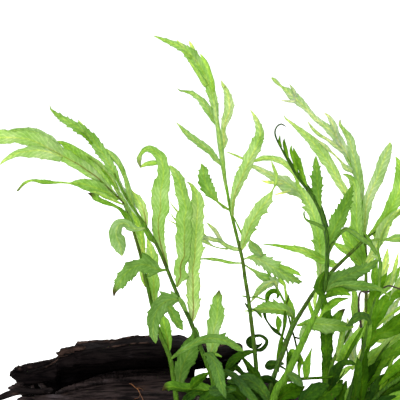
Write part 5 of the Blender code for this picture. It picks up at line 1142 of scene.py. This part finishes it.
def rings_between(rings, rows):
    """More cross-sections, evenly spread along the length, each between its two neighbours."""
    start = rings[0][0].x
    length = rings[-1][0].x - start
    index = 0
    spread = []
    for row in range(rows + 1):
        wanted = start + length * row / rows
        while index < len(rings) - 2 and rings[index + 1][0].x < wanted:
            index += 1
        low = rings[index]
        high = rings[index + 1]
        part = min(max((wanted - low[0].x) / (high[0].x - low[0].x), 0.0), 1.0)
        spread.append([first.lerp(second, part) for first, second in zip(low, high)])
    return spread


def evened_ring(ring, count):
    """A closed ring with another number of corners, evenly spread, and its outward directions."""
    closed = ring + [ring[0]]
    travelled = [0.0]
    for here, there in zip(closed, closed[1:]):
        travelled.append(travelled[-1] + (there - here).length)
    places = []
    cursor = 0
    for index in range(count):
        wanted = travelled[-1] * index / count
        while travelled[cursor + 1] < wanted:
            cursor += 1
        part = (wanted - travelled[cursor]) / max(travelled[cursor + 1] - travelled[cursor], 1e-9)
        places.append(closed[cursor].lerp(closed[cursor + 1], part))
    ways = []
    for index in range(count):
        run = places[(index + 2) % count] - places[index - 2]
        ways.append(Vector((0, run.z, -run.y)).normalized())
    return places, ways


def wood_relief(place, seed):
    """Height of the wood's surface: long grain ridges, dents and a fine roughness."""
    x, y, z = place * 1000
    shift = seed * 17.0
    warp = noise.noise(Vector((x / 26 + shift, y / 15, z / 15))) * 1.2
    ridges = noise.noise(Vector((x / 30 + shift, y / 4.2 + warp, z / 3.4 + warp)))
    fine = noise.noise(Vector((x / 9 + shift, y / 1.5, z / 1.3 + warp)))
    dents = noise.noise(Vector((x / 11 + shift, y / 8, z / 8)))
    grain = 1 - 2 * abs(ridges) ** 0.7
    return 0.75 * grain + 0.38 * fine + 0.75 * dents


def add_splinter(body, wear_and_highlight, paleness, way, seed):
    """A torn, uneven strip of wood along a way of (across, down, behind, half width)."""
    rows = evenly_spaced(way, SPLINTER_STEP)[0]
    places = []
    radii = []
    for index, (across, down, behind, half) in enumerate(rows):
        rough = noise.noise(Vector((index * 0.45, seed, 3.0)))
        places.append(spot(across, down + 0.5 * rough, behind))
        uneven = 1 + 0.4 * noise.noise(Vector((seed, index * 0.6, 0.0)))
        radii.append(max(half, 0.1) * DRAWING_STEP * uneven)

    def paint(vert, part):
        # Pale strip: partly torn wood and partly painted highlight along lit edges.
        vert[wear_and_highlight] = paleness + 0.4 * noise.noise(vert.co * 500)

    add_tube(body, places, radii, SPLINTER_SIDES, paint)


def make_wood(name, node, rings, rows, around, swell, worn, splinters, seed, material):
    """Wrap a rough wooden skin round a row of cross-sections, with torn strips on it.

    Worn is how much of the wood is pale on its high ridges; a crest, where it is wanted, is ragged
    and painted pale along its top: a painted highlight where light catches it.
    """
    body = bmesh.new()
    wear_and_highlight = body.verts.layers.float.new("wear_and_highlight")
    for number, (paleness, way) in enumerate(splinters):
        add_splinter(body, wear_and_highlight, paleness, way, seed * 10 + number)
    table = laid_grid(body, rows, around)
    for row, ring in enumerate(rings_between(rings, rows)):
        places, ways = evened_ring(ring, around)
        crest = max(place.z for place in places)
        ends = min(row, rows - row) / 6
        calm = min(1.0, 0.25 + ends)
        for column, vert in enumerate(table[row]):
            place = places[column % around]
            way = -ways[column % around]
            relief = wood_relief(place, seed)
            low = min(1.0, max(0.0, place.z * 1000 / 2.5))
            shift = relief * MM * WOOD_RELIEF * calm + swell
            if near_rhizome(place):
                shift = min(shift, -0.2 * MM) * 0.5
            vert.co = place + way * (shift * low)
            vert[wear_and_highlight] = min(1.0, max(0.0, worn * (1 + relief)))
            if node == "driftwood_bark_slab":
                near = max(0.0, 1 - (crest - place.z) / CREST_DEPTH)
                jag = noise.noise(Vector((place.x / CREST_STEP, 0.0, 5.0)))
                jag += 0.6 * noise.noise(Vector((place.x * 2.7 / CREST_STEP, 0.0, 9.0)))
                vert.co.z += near * jag * CREST_JAG
                # Crest painted pale: a painted highlight where light catches the slab's top edge.
                spread = 0.9 + 0.5 * noise.noise(place * 400)
                vert[wear_and_highlight] = max(vert[wear_and_highlight], near * spread)
            vert.co.z = max(vert.co.z, 0.0)
    welded_seam(body, table)
    open_edges = [edge for edge in body.edges if edge.is_boundary]
    caps = bmesh.ops.holes_fill(body, edges=open_edges, sides=0)["faces"]
    bmesh.ops.triangulate(body, faces=caps)
    return finished(body, name, [material], [node])


def near_rhizome(place):
    """Whether a place on the wood lies close to the rhizome."""
    for here, there in zip(RHIZOME_LINE, RHIZOME_LINE[1:]):
        if here.x - NEAR_ALONG < place.x < there.x + NEAR_ALONG:
            return math.hypot(place.y - here.y, place.z - here.z) < NEAR_RHIZOME
    return False


def mesh_surface(piece):
    """Surface of a finished piece, for laying roots on it."""
    body = bmesh.new()
    body.from_mesh(piece.data)
    surface = BVHTree.FromBMesh(body)
    body.free()
    return surface


def make_rhizome(material):
    """Creeping rhizome with rings of old scales and the stubs of old fronds."""
    luck = random.Random(2)
    body = bmesh.new()
    route = [spot(*point) for point in resampled(RHIZOME_ROUTE, RHIZOME_ROWS)]
    radii = []
    for index in range(RHIZOME_ROWS):
        part = index / (RHIZOME_ROWS - 1)
        swell = 0.93 + 0.09 * math.sin(index * 1.35) + 0.05 * luck.uniform(-1, 1)
        close = min(1.0, 0.45 + 6 * part, 0.4 + 6 * (1 - part))
        radii.append(RHIZOME_RADIUS * swell * close)
    add_tube(body, route, radii, RHIZOME_SIDES, None)
    for vert in body.verts:
        lump = noise.noise(vert.co * 1000 * 0.7) * RHIZOME_LUMP
        vert.co += (vert.co - nearest_middle(vert.co)).normalized() * lump
    for across, low, lean, top in RHIZOME_STUBS:
        depth = nearest_on(RHIZOME_ROUTE, across, low)[1]
        foot = spot(across, low, depth)
        head = spot(across + lean, top, depth - lean)
        places = []
        radii = []
        for index in range(STUB_ROWS):
            part = index / (STUB_ROWS - 1)
            places.append(foot.lerp(head, part))
            radii.append(between(*STUB_RADII, part) * MM * luck.uniform(0.92, 1.08))
        radii[-1] *= 0.75
        add_tube(body, places, radii, STUB_SIDES, None)
    finished(body, "creeping_rhizome", [material], ["rhizome"])


def nearest_middle(place):
    """Point of the rhizome's middle line that lies nearest to a place."""
    return min(RHIZOME_LINE, key=lambda middle: (middle - place).length_squared)


def laid_route(surface, guides, count, radius):
    """Route of a thin root that lies on the wood."""
    route = []
    for point in resampled(guides, count):
        place, normal = surface.find_nearest(spot(*point))[:2]
        route.append(place + normal * (radius + 0.1 * MM))
    return route


def drawn_out(radius, count, loss):
    """Radii of a thread that thins towards its tip."""
    return [radius * (1 - loss * index / (count - 1)) for index in range(count)]


def make_roots(surface, material):
    """Root threads laid on the log, each with finer threads that leave it."""
    for number, (node, guides) in enumerate(ROOT_ROUTES.items()):
        luck = random.Random(40 + number)
        body = bmesh.new()
        route = laid_route(surface, guides, ROOT_ROWS, ROOT_RADIUS)
        add_tube(body, route, drawn_out(ROOT_RADIUS, ROOT_ROWS, 0.6), ROOT_SIDES, None)
        for branch in range(ROOT_BRANCHES):
            start = smooth_point(guides, (0.15 + 0.16 * branch) * (len(guides) - 1))
            reach = luck.uniform(4, 9)
            side = luck.choice((-1, 1))
            fall = luck.uniform(2, 8)
            end = (start[0] + side * reach, start[1] + fall, start[2] - luck.uniform(1, 5))
            middle = tuple(between(a, b, 0.5) + luck.uniform(-1.5, 1.5) for a, b in zip(start, end))
            thin = laid_route(surface, (start, middle, end), BRANCH_ROWS, THREAD_HEIGHT)
            add_tube(body, thin, drawn_out(BRANCH_RADIUS, BRANCH_ROWS, 0.7), HAIR_SIDES, None)
        finished(body, "threads_" + node, [material], [node])


def make_root_hairs(surface, material):
    """Short brown roots that hold the rhizome on the wood."""
    luck = random.Random(77)
    body = bmesh.new()
    for number in range(HAIR_COUNT):
        across = luck.uniform(*HAIR_SPAN)
        low, depth = depth_of_rhizome(across)
        front = luck.random() < 0.75
        reach = luck.uniform(4, 11)
        sign = -1 if front else 1
        start = (across, low + 2, depth + sign * 1.5)
        middle = (across + luck.uniform(-4, 4), low + reach * 0.5, depth + sign * reach * 0.6)
        end = (across + luck.uniform(-7, 7), low + reach, depth + sign * reach)
        route = laid_route(surface, (start, middle, end), HAIR_ROWS, THREAD_HEIGHT)
        add_tube(body, route, drawn_out(HAIR_RADIUS, HAIR_ROWS, 0.65), HAIR_SIDES, None)
    finished(body, "root_hairs", [material], [])


def depth_of_rhizome(across):
    """Height in the drawing and depth of the rhizome's middle at a place across."""
    for start, end in zip(RHIZOME_ROUTE, RHIZOME_ROUTE[1:]):
        if start[0] <= across <= end[0]:
            part = (across - start[0]) / (end[0] - start[0])
            return between(start[1], end[1], part), between(start[2], end[2], part)
    return RHIZOME_ROUTE[-1][1:]


def feed(tree, socket, value):
    """Link a value into a socket where it is a socket itself, and set it there where it is not."""
    if isinstance(value, bpy.types.NodeSocket):
        tree.links.new(value, socket)
    else:
        socket.default_value = value


def worked(tree, operation, *values):
    """Result of a sum on sockets and numbers."""
    node = tree.nodes.new("ShaderNodeMath")
    node.operation = operation
    for socket, value in zip(node.inputs, values):
        feed(tree, socket, value)
    return node.outputs[0]


def plus(tree, first, second):
    """Two values added."""
    return worked(tree, "ADD", first, second)


def minus(tree, first, second):
    """The first value less the second."""
    return worked(tree, "SUBTRACT", first, second)


def times(tree, first, second):
    """Two values multiplied."""
    return worked(tree, "MULTIPLY", first, second)


def swung(tree, pattern, amount):
    """A pattern's swing about its middle, made as large as the amount."""
    return times(tree, minus(tree, pattern, 0.5), amount)


def eased(tree, value, low, high):
    """0 below the low value, 1 above the high value, and a soft step between."""
    node = tree.nodes.new("ShaderNodeMapRange")
    node.interpolation_type = "SMOOTHSTEP"
    feed(tree, node.inputs["Value"], value)
    node.inputs["From Min"].default_value = low
    node.inputs["From Max"].default_value = high
    return node.outputs["Result"]


def blended(tree, part, first, second, kind="MIX"):
    """Colour between two colours."""
    node = tree.nodes.new("ShaderNodeMix")
    node.data_type = "RGBA"
    node.blend_type = kind
    feed(tree, node.inputs[0], part)
    feed(tree, node.inputs[6], first)
    feed(tree, node.inputs[7], second)
    return node.outputs[2]


def tinted(tree, colour, tint):
    """Colour with its red, green and blue made stronger or weaker."""
    return blended(tree, 1.0, colour, (*tint, 1), "MULTIPLY")


def clouded(tree, place, scale, detail, roughness=0.5):
    """Soft irregular pattern."""
    node = tree.nodes.new("ShaderNodeTexNoise")
    tree.links.new(place, node.inputs["Vector"])
    node.inputs["Scale"].default_value = scale
    node.inputs["Detail"].default_value = detail
    node.inputs["Roughness"].default_value = roughness
    return node.outputs["Fac"]


def stretched(tree, place, scale):
    """A place stretched along the three directions."""
    node = tree.nodes.new("ShaderNodeMapping")
    tree.links.new(place, node.inputs["Vector"])
    node.inputs["Scale"].default_value = scale
    return node.outputs["Vector"]


def object_place(tree):
    """Place on the piece itself."""
    return tree.nodes.new("ShaderNodeTexCoord").outputs["Object"]


def mark_of(tree, name):
    """Value of one of the marks that the mesh carries."""
    node = tree.nodes.new("ShaderNodeAttribute")
    node.attribute_name = name
    return node.outputs["Fac"]


def new_group(name, inputs, outputs):
    """Empty group with named sockets."""
    tree = bpy.data.node_groups.new(name, "ShaderNodeTree")
    for label, value in inputs:
        socket = tree.interface.new_socket(name=label, in_out="INPUT", socket_type="NodeSocketFloat")
        socket.default_value = value
    for label, kind in outputs:
        tree.interface.new_socket(name=label, in_out="OUTPUT", socket_type=kind)
    return tree, tree.nodes.new("NodeGroupInput").outputs, tree.nodes.new("NodeGroupOutput").inputs


def placed_group(tree, effect):
    """A shared effect placed in a material."""
    group = tree.nodes.new("ShaderNodeGroup")
    group.node_tree = effect
    return group


def leaf_markings():
    """Colour, glow, roughness and height of a leaf, with its veins, rib, margin and dry tip."""
    inputs = [("Along", 0), ("Across", 0), ("Edge", 0), ("Tone", 0.5), ("Underside_and_sheen", 0), ("Dry", 0),
              ("Rib", 0)]
    outputs = [("Colour", "NodeSocketColor"), ("Glow", "NodeSocketColor"),
               ("Roughness", "NodeSocketFloat"), ("Height", "NodeSocketFloat")]
    tree, given, out = new_group("leaf_markings", inputs, outputs)
    place = object_place(tree)
    patches = clouded(tree, place, 90, 3)
    flecks = clouded(tree, place, 700, 3)
    # Tone picks the green: the leaf's own green with painted shade and painted lit-through brightness in
    # it.
    tone = plus(tree, given["Tone"], swung(tree, patches, 0.6))
    tone = plus(tree, tone, swung(tree, flecks, 0.3))
    ramp = tree.nodes.new("ShaderNodeValToRGB")
    tree.links.new(tone, ramp.inputs["Fac"])
    stops = ramp.color_ramp.elements
    stops[0].position = 0.0
    stops[0].color = (*LEAF_GREENS[0][1], 1)
    stops[1].position = 1.0
    stops[1].color = (*LEAF_GREENS[-1][1], 1)
    for position, green in LEAF_GREENS[1:-1]:
        stops.new(position).color = (*green, 1)
    colour = ramp.outputs["Color"]
    # Bluish-grey tint: the undersides' own colour and a painted bluish sheen on curled blades.
    bluish = blended(tree, 0.18, tinted(tree, colour, (0.92, 0.84, 1.9)), GREY_GREEN)
    colour = blended(tree, times(tree, given["Underside_and_sheen"], 0.8), colour, bluish)

    away = worked(tree, "ABSOLUTE", given["Across"])
    run = minus(tree, given["Along"], times(tree, away, 2.2))
    run = plus(tree, run, times(tree, clouded(tree, place, 260, 2), 5.0))
    run = plus(tree, run, flecks)
    broad = eased(tree, worked(tree, "SINE", times(tree, run, 1.75)), 0.1, 1.0)
    narrow = eased(tree, worked(tree, "SINE", times(tree, run, 4.3)), 0.2, 1.0)
    veins = worked(tree, "MAXIMUM", broad, times(tree, narrow, 0.6))
    between_veins = tinted(tree, colour, (0.87, 0.91, 0.83))
    on_veins = tinted(tree, colour, (1.16, 1.10, 1.12))
    colour = blended(tree, veins, between_veins, on_veins)

    margin = times(tree, eased(tree, given["Edge"], 0.86, 1.0), 0.45)
    colour = blended(tree, margin, colour, tinted(tree, colour, (0.5, 0.68, 0.4)))
    beside_rib = times(tree, minus(tree, 1.0, eased(tree, away, 0.12, 0.5)), 0.6)
    colour = blended(tree, beside_rib, colour, tinted(tree, colour, (1.45, 1.25, 0.8)))
    rib = times(tree, minus(tree, 1.0, eased(tree, away, 0.08, 0.34)), given["Rib"])
    colour = blended(tree, times(tree, rib, 0.8), colour, BROWN_RIB)
    spots = eased(tree, clouded(tree, place, 420, 1), 0.74, 0.80)
    colour = blended(tree, times(tree, spots, 0.5), colour, BROWN_SPOT)
    dryness = plus(tree, given["Dry"], swung(tree, patches, 0.5))
    colour = blended(tree, eased(tree, dryness, 0.25, 0.8), colour, DRY_LEAF)

    tree.links.new(colour, out["Colour"])
    tree.links.new(tinted(tree, colour, (1.35, 1.25, 0.9)), out["Glow"])
    tree.links.new(plus(tree, 0.5, times(tree, flecks, 0.22)), out["Roughness"])
    tree.links.new(plus(tree, times(tree, veins, -0.6), flecks), out["Height"])
    return tree


def new_material(name):
    """Material with one main shader."""
    material = bpy.data.materials.new(name)
    material.use_nodes = True
    tree = material.node_tree
    return material, tree, tree.nodes["Principled BSDF"]


def add_bump(tree, shader, height, strength, distance):
    """Let a height shape the surface."""
    bump = tree.nodes.new("ShaderNodeBump")
    bump.inputs["Strength"].default_value = strength
    bump.inputs["Distance"].default_value = distance
    tree.links.new(height, bump.inputs["Height"])
    tree.links.new(bump.outputs["Normal"], shader.inputs["Normal"])
    return bump


def blade_finish(name, markings, light_through, specular):
    """Leaf blade that lets light through."""
    material, tree, shader = new_material(name)
    group = placed_group(tree, markings)
    for mark in MARKS:
        tree.links.new(mark_of(tree, mark), group.inputs[mark.capitalize()])
    tree.links.new(group.outputs["Colour"], shader.inputs["Base Color"])
    tree.links.new(group.outputs["Roughness"], shader.inputs["Roughness"])
    shader.inputs["Specular IOR Level"].default_value = specular
    bump = add_bump(tree, shader, group.outputs["Height"], 0.5, 0.2 * MM)
    through = tree.nodes.new("ShaderNodeBsdfTranslucent")
    tree.links.new(group.outputs["Glow"], through.inputs["Color"])
    tree.links.new(bump.outputs["Normal"], through.inputs["Normal"])
    mixed = tree.nodes.new("ShaderNodeMixShader")
    mixed.inputs[0].default_value = light_through
    tree.links.new(shader.outputs[0], mixed.inputs[1])
    tree.links.new(through.outputs[0], mixed.inputs[2])
    tree.links.new(mixed.outputs[0], tree.nodes["Material Output"].inputs["Surface"])
    return material


def fibre_streaks():
    """Fine streaks and blotches that stalks, rhizome and roots share."""
    outputs = [("Streaks", "NodeSocketFloat"), ("Blotches", "NodeSocketFloat")]
    tree, given, out = new_group("fibre_streaks", [("Fineness", 1.0)], outputs)
    place = object_place(tree)
    scaled = tree.nodes.new("ShaderNodeVectorMath")
    scaled.operation = "SCALE"
    tree.links.new(place, scaled.inputs[0])
    tree.links.new(given["Fineness"], scaled.inputs["Scale"])
    tall = stretched(tree, scaled.outputs[0], (1.0, 1.0, 0.18))
    tree.links.new(clouded(tree, tall, 1500, 3, 0.6), out["Streaks"])
    tree.links.new(clouded(tree, scaled.outputs[0], 260, 4, 0.6), out["Blotches"])
    return tree


def stalk_finish(streaks):
    """Green stalk, bright or dark and more or less brown along its length."""
    material, tree, shader = new_material("stalk_skin")
    group = placed_group(tree, streaks)
    tone = plus(tree, mark_of(tree, "tone"), swung(tree, group.outputs["Streaks"], 0.9))
    green = blended(tree, eased(tree, tone, 0.0, 1.0), STALK_DARK, STALK_BRIGHT)
    brown = plus(tree, mark_of(tree, "dry"), swung(tree, group.outputs["Blotches"], 1.6))
    colour = blended(tree, eased(tree, brown, 0.1, 1.0), green, STALK_BROWN)
    tree.links.new(colour, shader.inputs["Base Color"])
    shader.inputs["Roughness"].default_value = 0.5
    shader.inputs["Specular IOR Level"].default_value = 0.1
    add_bump(tree, shader, group.outputs["Streaks"], 0.6, 0.08 * MM)
    return material


def fibre_finish(name, streaks, fineness, dark, light, roughness, bump_depth):
    """Rhizome, root or dry stalk: streaked between two colours."""
    material, tree, shader = new_material(name)
    group = placed_group(tree, streaks)
    group.inputs["Fineness"].default_value = fineness
    part = times(tree, plus(tree, group.outputs["Streaks"], group.outputs["Blotches"]), 0.5)
    colour = blended(tree, eased(tree, part, 0.36, 0.64), (*dark, 1), (*light, 1))
    tree.links.new(colour, shader.inputs["Base Color"])
    rough = plus(tree, roughness, times(tree, group.outputs["Streaks"], 0.2))
    tree.links.new(rough, shader.inputs["Roughness"])
    add_bump(tree, shader, group.outputs["Streaks"], 0.6, bump_depth)
    return material


def wood_grain():
    """Colour, roughness and height of dark wet wood with long grain."""
    inputs = [("Wear_and_highlight", 0.5), ("Damp", 0.5), ("Light", 1.0)]
    outputs = [("Colour", "NodeSocketColor"), ("Roughness", "NodeSocketFloat"),
               ("Height", "NodeSocketFloat")]
    tree, given, out = new_group("wood_grain", inputs, outputs)
    place = object_place(tree)
    grain = clouded(tree, stretched(tree, place, (0.10, 1.0, 1.0)), 700, 6, 0.65)
    coarse = clouded(tree, stretched(tree, place, (0.16, 1.0, 1.0)), 160, 5, 0.6)
    patches = clouded(tree, place, 38, 4, 0.6)
    colour = blended(tree, eased(tree, grain, 0.35, 0.68), WOOD_DARK, WOOD_BROWN)
    grey = times(tree, eased(tree, patches, 0.56, 0.68), eased(tree, grain, 0.45, 0.6))
    colour = blended(tree, times(tree, grey, 0.6), colour, WOOD_GREY)
    colour = blended(tree, given["Light"], WOOD_SHADE, colour)
    # Pale rims: worn ridges and torn wood, and painted highlights on lit edges and the slab's crest.
    rims = times(tree, eased(tree, given["Wear_and_highlight"], 0.62, 1.0), eased(tree, coarse, 0.42, 0.62))
    colour = blended(tree, times(tree, rims, 0.8), colour, WOOD_RIM_AND_HIGHLIGHT)
    tree.links.new(colour, out["Colour"])
    wet = times(tree, given["Damp"], eased(tree, patches, 0.35, 0.65))
    tree.links.new(minus(tree, 0.78, times(tree, wet, 0.45)), out["Roughness"])
    tree.links.new(plus(tree, coarse, times(tree, grain, 0.6)), out["Height"])
    return tree


def wood_finish(name, grain, damp, light, specular):
    """Waterlogged driftwood."""
    material, tree, shader = new_material(name)
    group = placed_group(tree, grain)
    tree.links.new(mark_of(tree, "wear_and_highlight"), group.inputs["Wear_and_highlight"])
    group.inputs["Damp"].default_value = damp
    group.inputs["Light"].default_value = light
    tree.links.new(group.outputs["Colour"], shader.inputs["Base Color"])
    tree.links.new(group.outputs["Roughness"], shader.inputs["Roughness"])
    shader.inputs["Specular IOR Level"].default_value = specular
    add_bump(tree, shader, group.outputs["Height"], 0.8, 0.6 * MM)
    return material


def make_left_root(material):
    """Thin crooked root at the log's left end."""
    body = bmesh.new()
    wear_and_highlight = body.verts.layers.float.new("wear_and_highlight")
    points = resampled(LEFT_ROOT, LEFT_ROOT_ROWS)
    route = [spot(*point[:3]) for point in points]
    radii = [point[3] * DRAWING_STEP * LEFT_ROOT_FULLNESS for point in points]
    add_tube(body, route, radii, LEFT_ROOT_SIDES, None)
    for vert in body.verts:
        relief = wood_relief(vert.co, 3)
        middle = min(route[::6], key=lambda place: (place - vert.co).length_squared)
        vert.co += (vert.co - middle).normalized() * relief * LEFT_ROOT_RELIEF * MM
        vert[wear_and_highlight] = min(1.0, max(0.0, 0.45 + 0.45 * relief))
    finished(body, "crooked_root", [material], ["driftwood_left_root"])


def make_dry_stalk(material):
    """Dead, knotty stalk among the right-hand fronds."""
    body = bmesh.new()
    route = evenly_spaced(DEAD_STALK, DEAD_STALK_STEP)[0]
    radii = []
    for index in range(len(route)):
        knots = 1 + 0.12 * math.sin(index * 2.3)
        radii.append(between(*DEAD_STALK_RADII, index / (len(route) - 1)) * MM * knots)
    add_tube(body, [spot(*point) for point in route], radii, DEAD_STALK_SIDES, None)
    finished(body, "dry_frond_stalk", [material], ["frond_dead_stalk"])


def make_floor():
    """Wide pale floor."""
    body = bmesh.new()
    bmesh.ops.create_grid(body, x_segments=2, y_segments=2, size=80.0)
    mesh = bpy.data.meshes.new("floor")
    body.to_mesh(mesh)
    body.free()
    floor = bpy.data.objects.new("floor", mesh)
    bpy.context.scene.collection.objects.link(floor)
    material = new_material("pale_floor")[0]
    shader = material.node_tree.nodes["Principled BSDF"]
    shader.inputs["Base Color"].default_value = (0.9, 0.9, 0.9, 1)
    shader.inputs["Roughness"].default_value = 0.9
    shader.inputs["Specular IOR Level"].default_value = 0.1
    shader.inputs["Emission Color"].default_value = (1, 1, 1, 1)
    shader.inputs["Emission Strength"].default_value = 0.35
    mesh.materials.append(material)


def make_light(name, place, aim, size, power, colour):
    """Large soft lamp that looks at a place."""
    lamp = bpy.data.lights.new(name, "AREA")
    lamp.shape = "DISK"
    lamp.size = size
    lamp.energy = power
    lamp.color = colour
    item = bpy.data.objects.new(name, lamp)
    item.location = place
    item.rotation_euler = (Vector(aim) - Vector(place)).to_track_quat("-Z", "Y").to_euler()
    bpy.context.scene.collection.objects.link(item)


def make_daylight():
    """Even white light from all round."""
    world = bpy.data.worlds.new("studio")
    world.use_nodes = True
    world.node_tree.nodes["Background"].inputs["Color"].default_value = (1, 1, 1, 1)
    world.node_tree.nodes["Background"].inputs["Strength"].default_value = 1.0
    bpy.context.scene.world = world
    bpy.context.scene.view_settings.view_transform = "Standard"


def make_camera():
    """Camera at the viewing angle, level with the drawing sheet's centre."""
    lens = bpy.data.cameras.new("camera")
    lens.lens = 180
    lens.sensor_width = 36
    lens.clip_start = 0.05
    item = bpy.data.objects.new("camera", lens)
    item.location = SHEET_CENTRE - AHEAD * EYE_DISTANCE
    item.rotation_euler = (math.pi / 2 - EYE_ELEVATION, 0, 0)
    bpy.context.scene.collection.objects.link(item)
    bpy.context.scene.camera = item


RHIZOME_LINE = [spot(*point) for point in resampled(RHIZOME_ROUTE, RHIZOME_PLACES)]

make_camera()
make_floor()
make_daylight()
make_light("key", (-0.7, -0.9, 1.1), (0, 0.02, 0.1), 0.7, 14, (1, 0.99, 0.96))
make_light("back", (0.3, 1.1, 0.9), (0, 0.02, 0.12), 0.8, 14, (1, 1, 0.95))

markings = leaf_markings()
streaks = fibre_streaks()
grain = wood_grain()
young_blade = blade_finish("young_blade", markings, 0.5, 0.06)
grown_blade = blade_finish("grown_blade", markings, 0.38, 0.03)
stalk_skin = stalk_finish(streaks)
rhizome_skin = fibre_finish("rhizome_skin", streaks, 0.6, (0.020, 0.014, 0.006),
                            (0.075, 0.075, 0.02), 0.55, 0.4 * MM)
root_thread = fibre_finish("root_thread", streaks, 1.0, (0.05, 0.018, 0.008),
                           (0.22, 0.08, 0.02), 0.6, 0.1 * MM)
dry_stalk = fibre_finish("dry_stalk", streaks, 1.0, (0.010, 0.006, 0.003),
                         (0.050, 0.026, 0.012), 0.6, 0.1 * MM)
log_wood = wood_finish("log_wood", grain, 0.8, 1.0, 0.03)
bark_wood = wood_finish("bark_wood", grain, 0.45, 0.2, 0.003)
root_wood = wood_finish("root_wood", grain, 0.45, 0.35, 0.02)

log_rings = [log_ring(station) for station in LOG_STATIONS]
log_piece = make_wood("driftwood_body", "driftwood_log", log_rings, LOG_ROWS, LOG_AROUND,
                      -0.2 * MM, 0.45, LOG_SPLINTERS, 1, log_wood)
slab_luck = random.Random(9)
slab_rings = [slab_ring(station, slab_luck) for station in SLAB_STATIONS]
make_wood("bark_shelf", "driftwood_bark_slab", slab_rings, SLAB_ROWS, SLAB_AROUND, 0.3 * MM, 0.2,
          SLAB_SPLINTERS, 2, bark_wood)
make_left_root(root_wood)
make_rhizome(rhizome_skin)
log_surface = mesh_surface(log_piece)
make_roots(log_surface, root_thread)
make_root_hairs(log_surface, root_thread)

DRAWN_FRONDS = (
    ("front_left", FRONT_LEFT, grown_blade, "leaf_dark"),
    ("arching_left", ARCHING_LEFT, young_blade, "leaf_pale"),
    ("tall_middle", TALL_MIDDLE, young_blade, "leaf_green"),
    ("leaning_right", LEANING_RIGHT, young_blade, "leaf_pale"),
    ("dark_front", DARK_FRONT, grown_blade, "leaf_dark"),
    ("small_behind", SMALL_BEHIND, young_blade, "leaf_green"),
    ("pale_middle", PALE_MIDDLE, young_blade, "leaf_pale"),
    ("soft_back", SOFT_BACK, young_blade, "leaf_pale"),
    ("lower_right", LOWER_RIGHT, grown_blade, "leaf_dark"),
)
for number, (place, frond, blade, slot) in enumerate(DRAWN_FRONDS):
    make_frond(place, frond["stalk"], frond["radii"], frond["skin"], frond["blades"],
               100 + number, [stalk_skin, blade])
for number, (place, stalk, skin, rule, drawn) in enumerate(RIGHT_FRONDS):
    blades = list(drawn)
    if rule:
        blades += rule_blades(stalk, *rule)
    make_frond(place, stalk, RIGHT_RADII, skin, blades, 200 + number,
               [stalk_skin, grown_blade])

make_dry_stalk(dry_stalk)
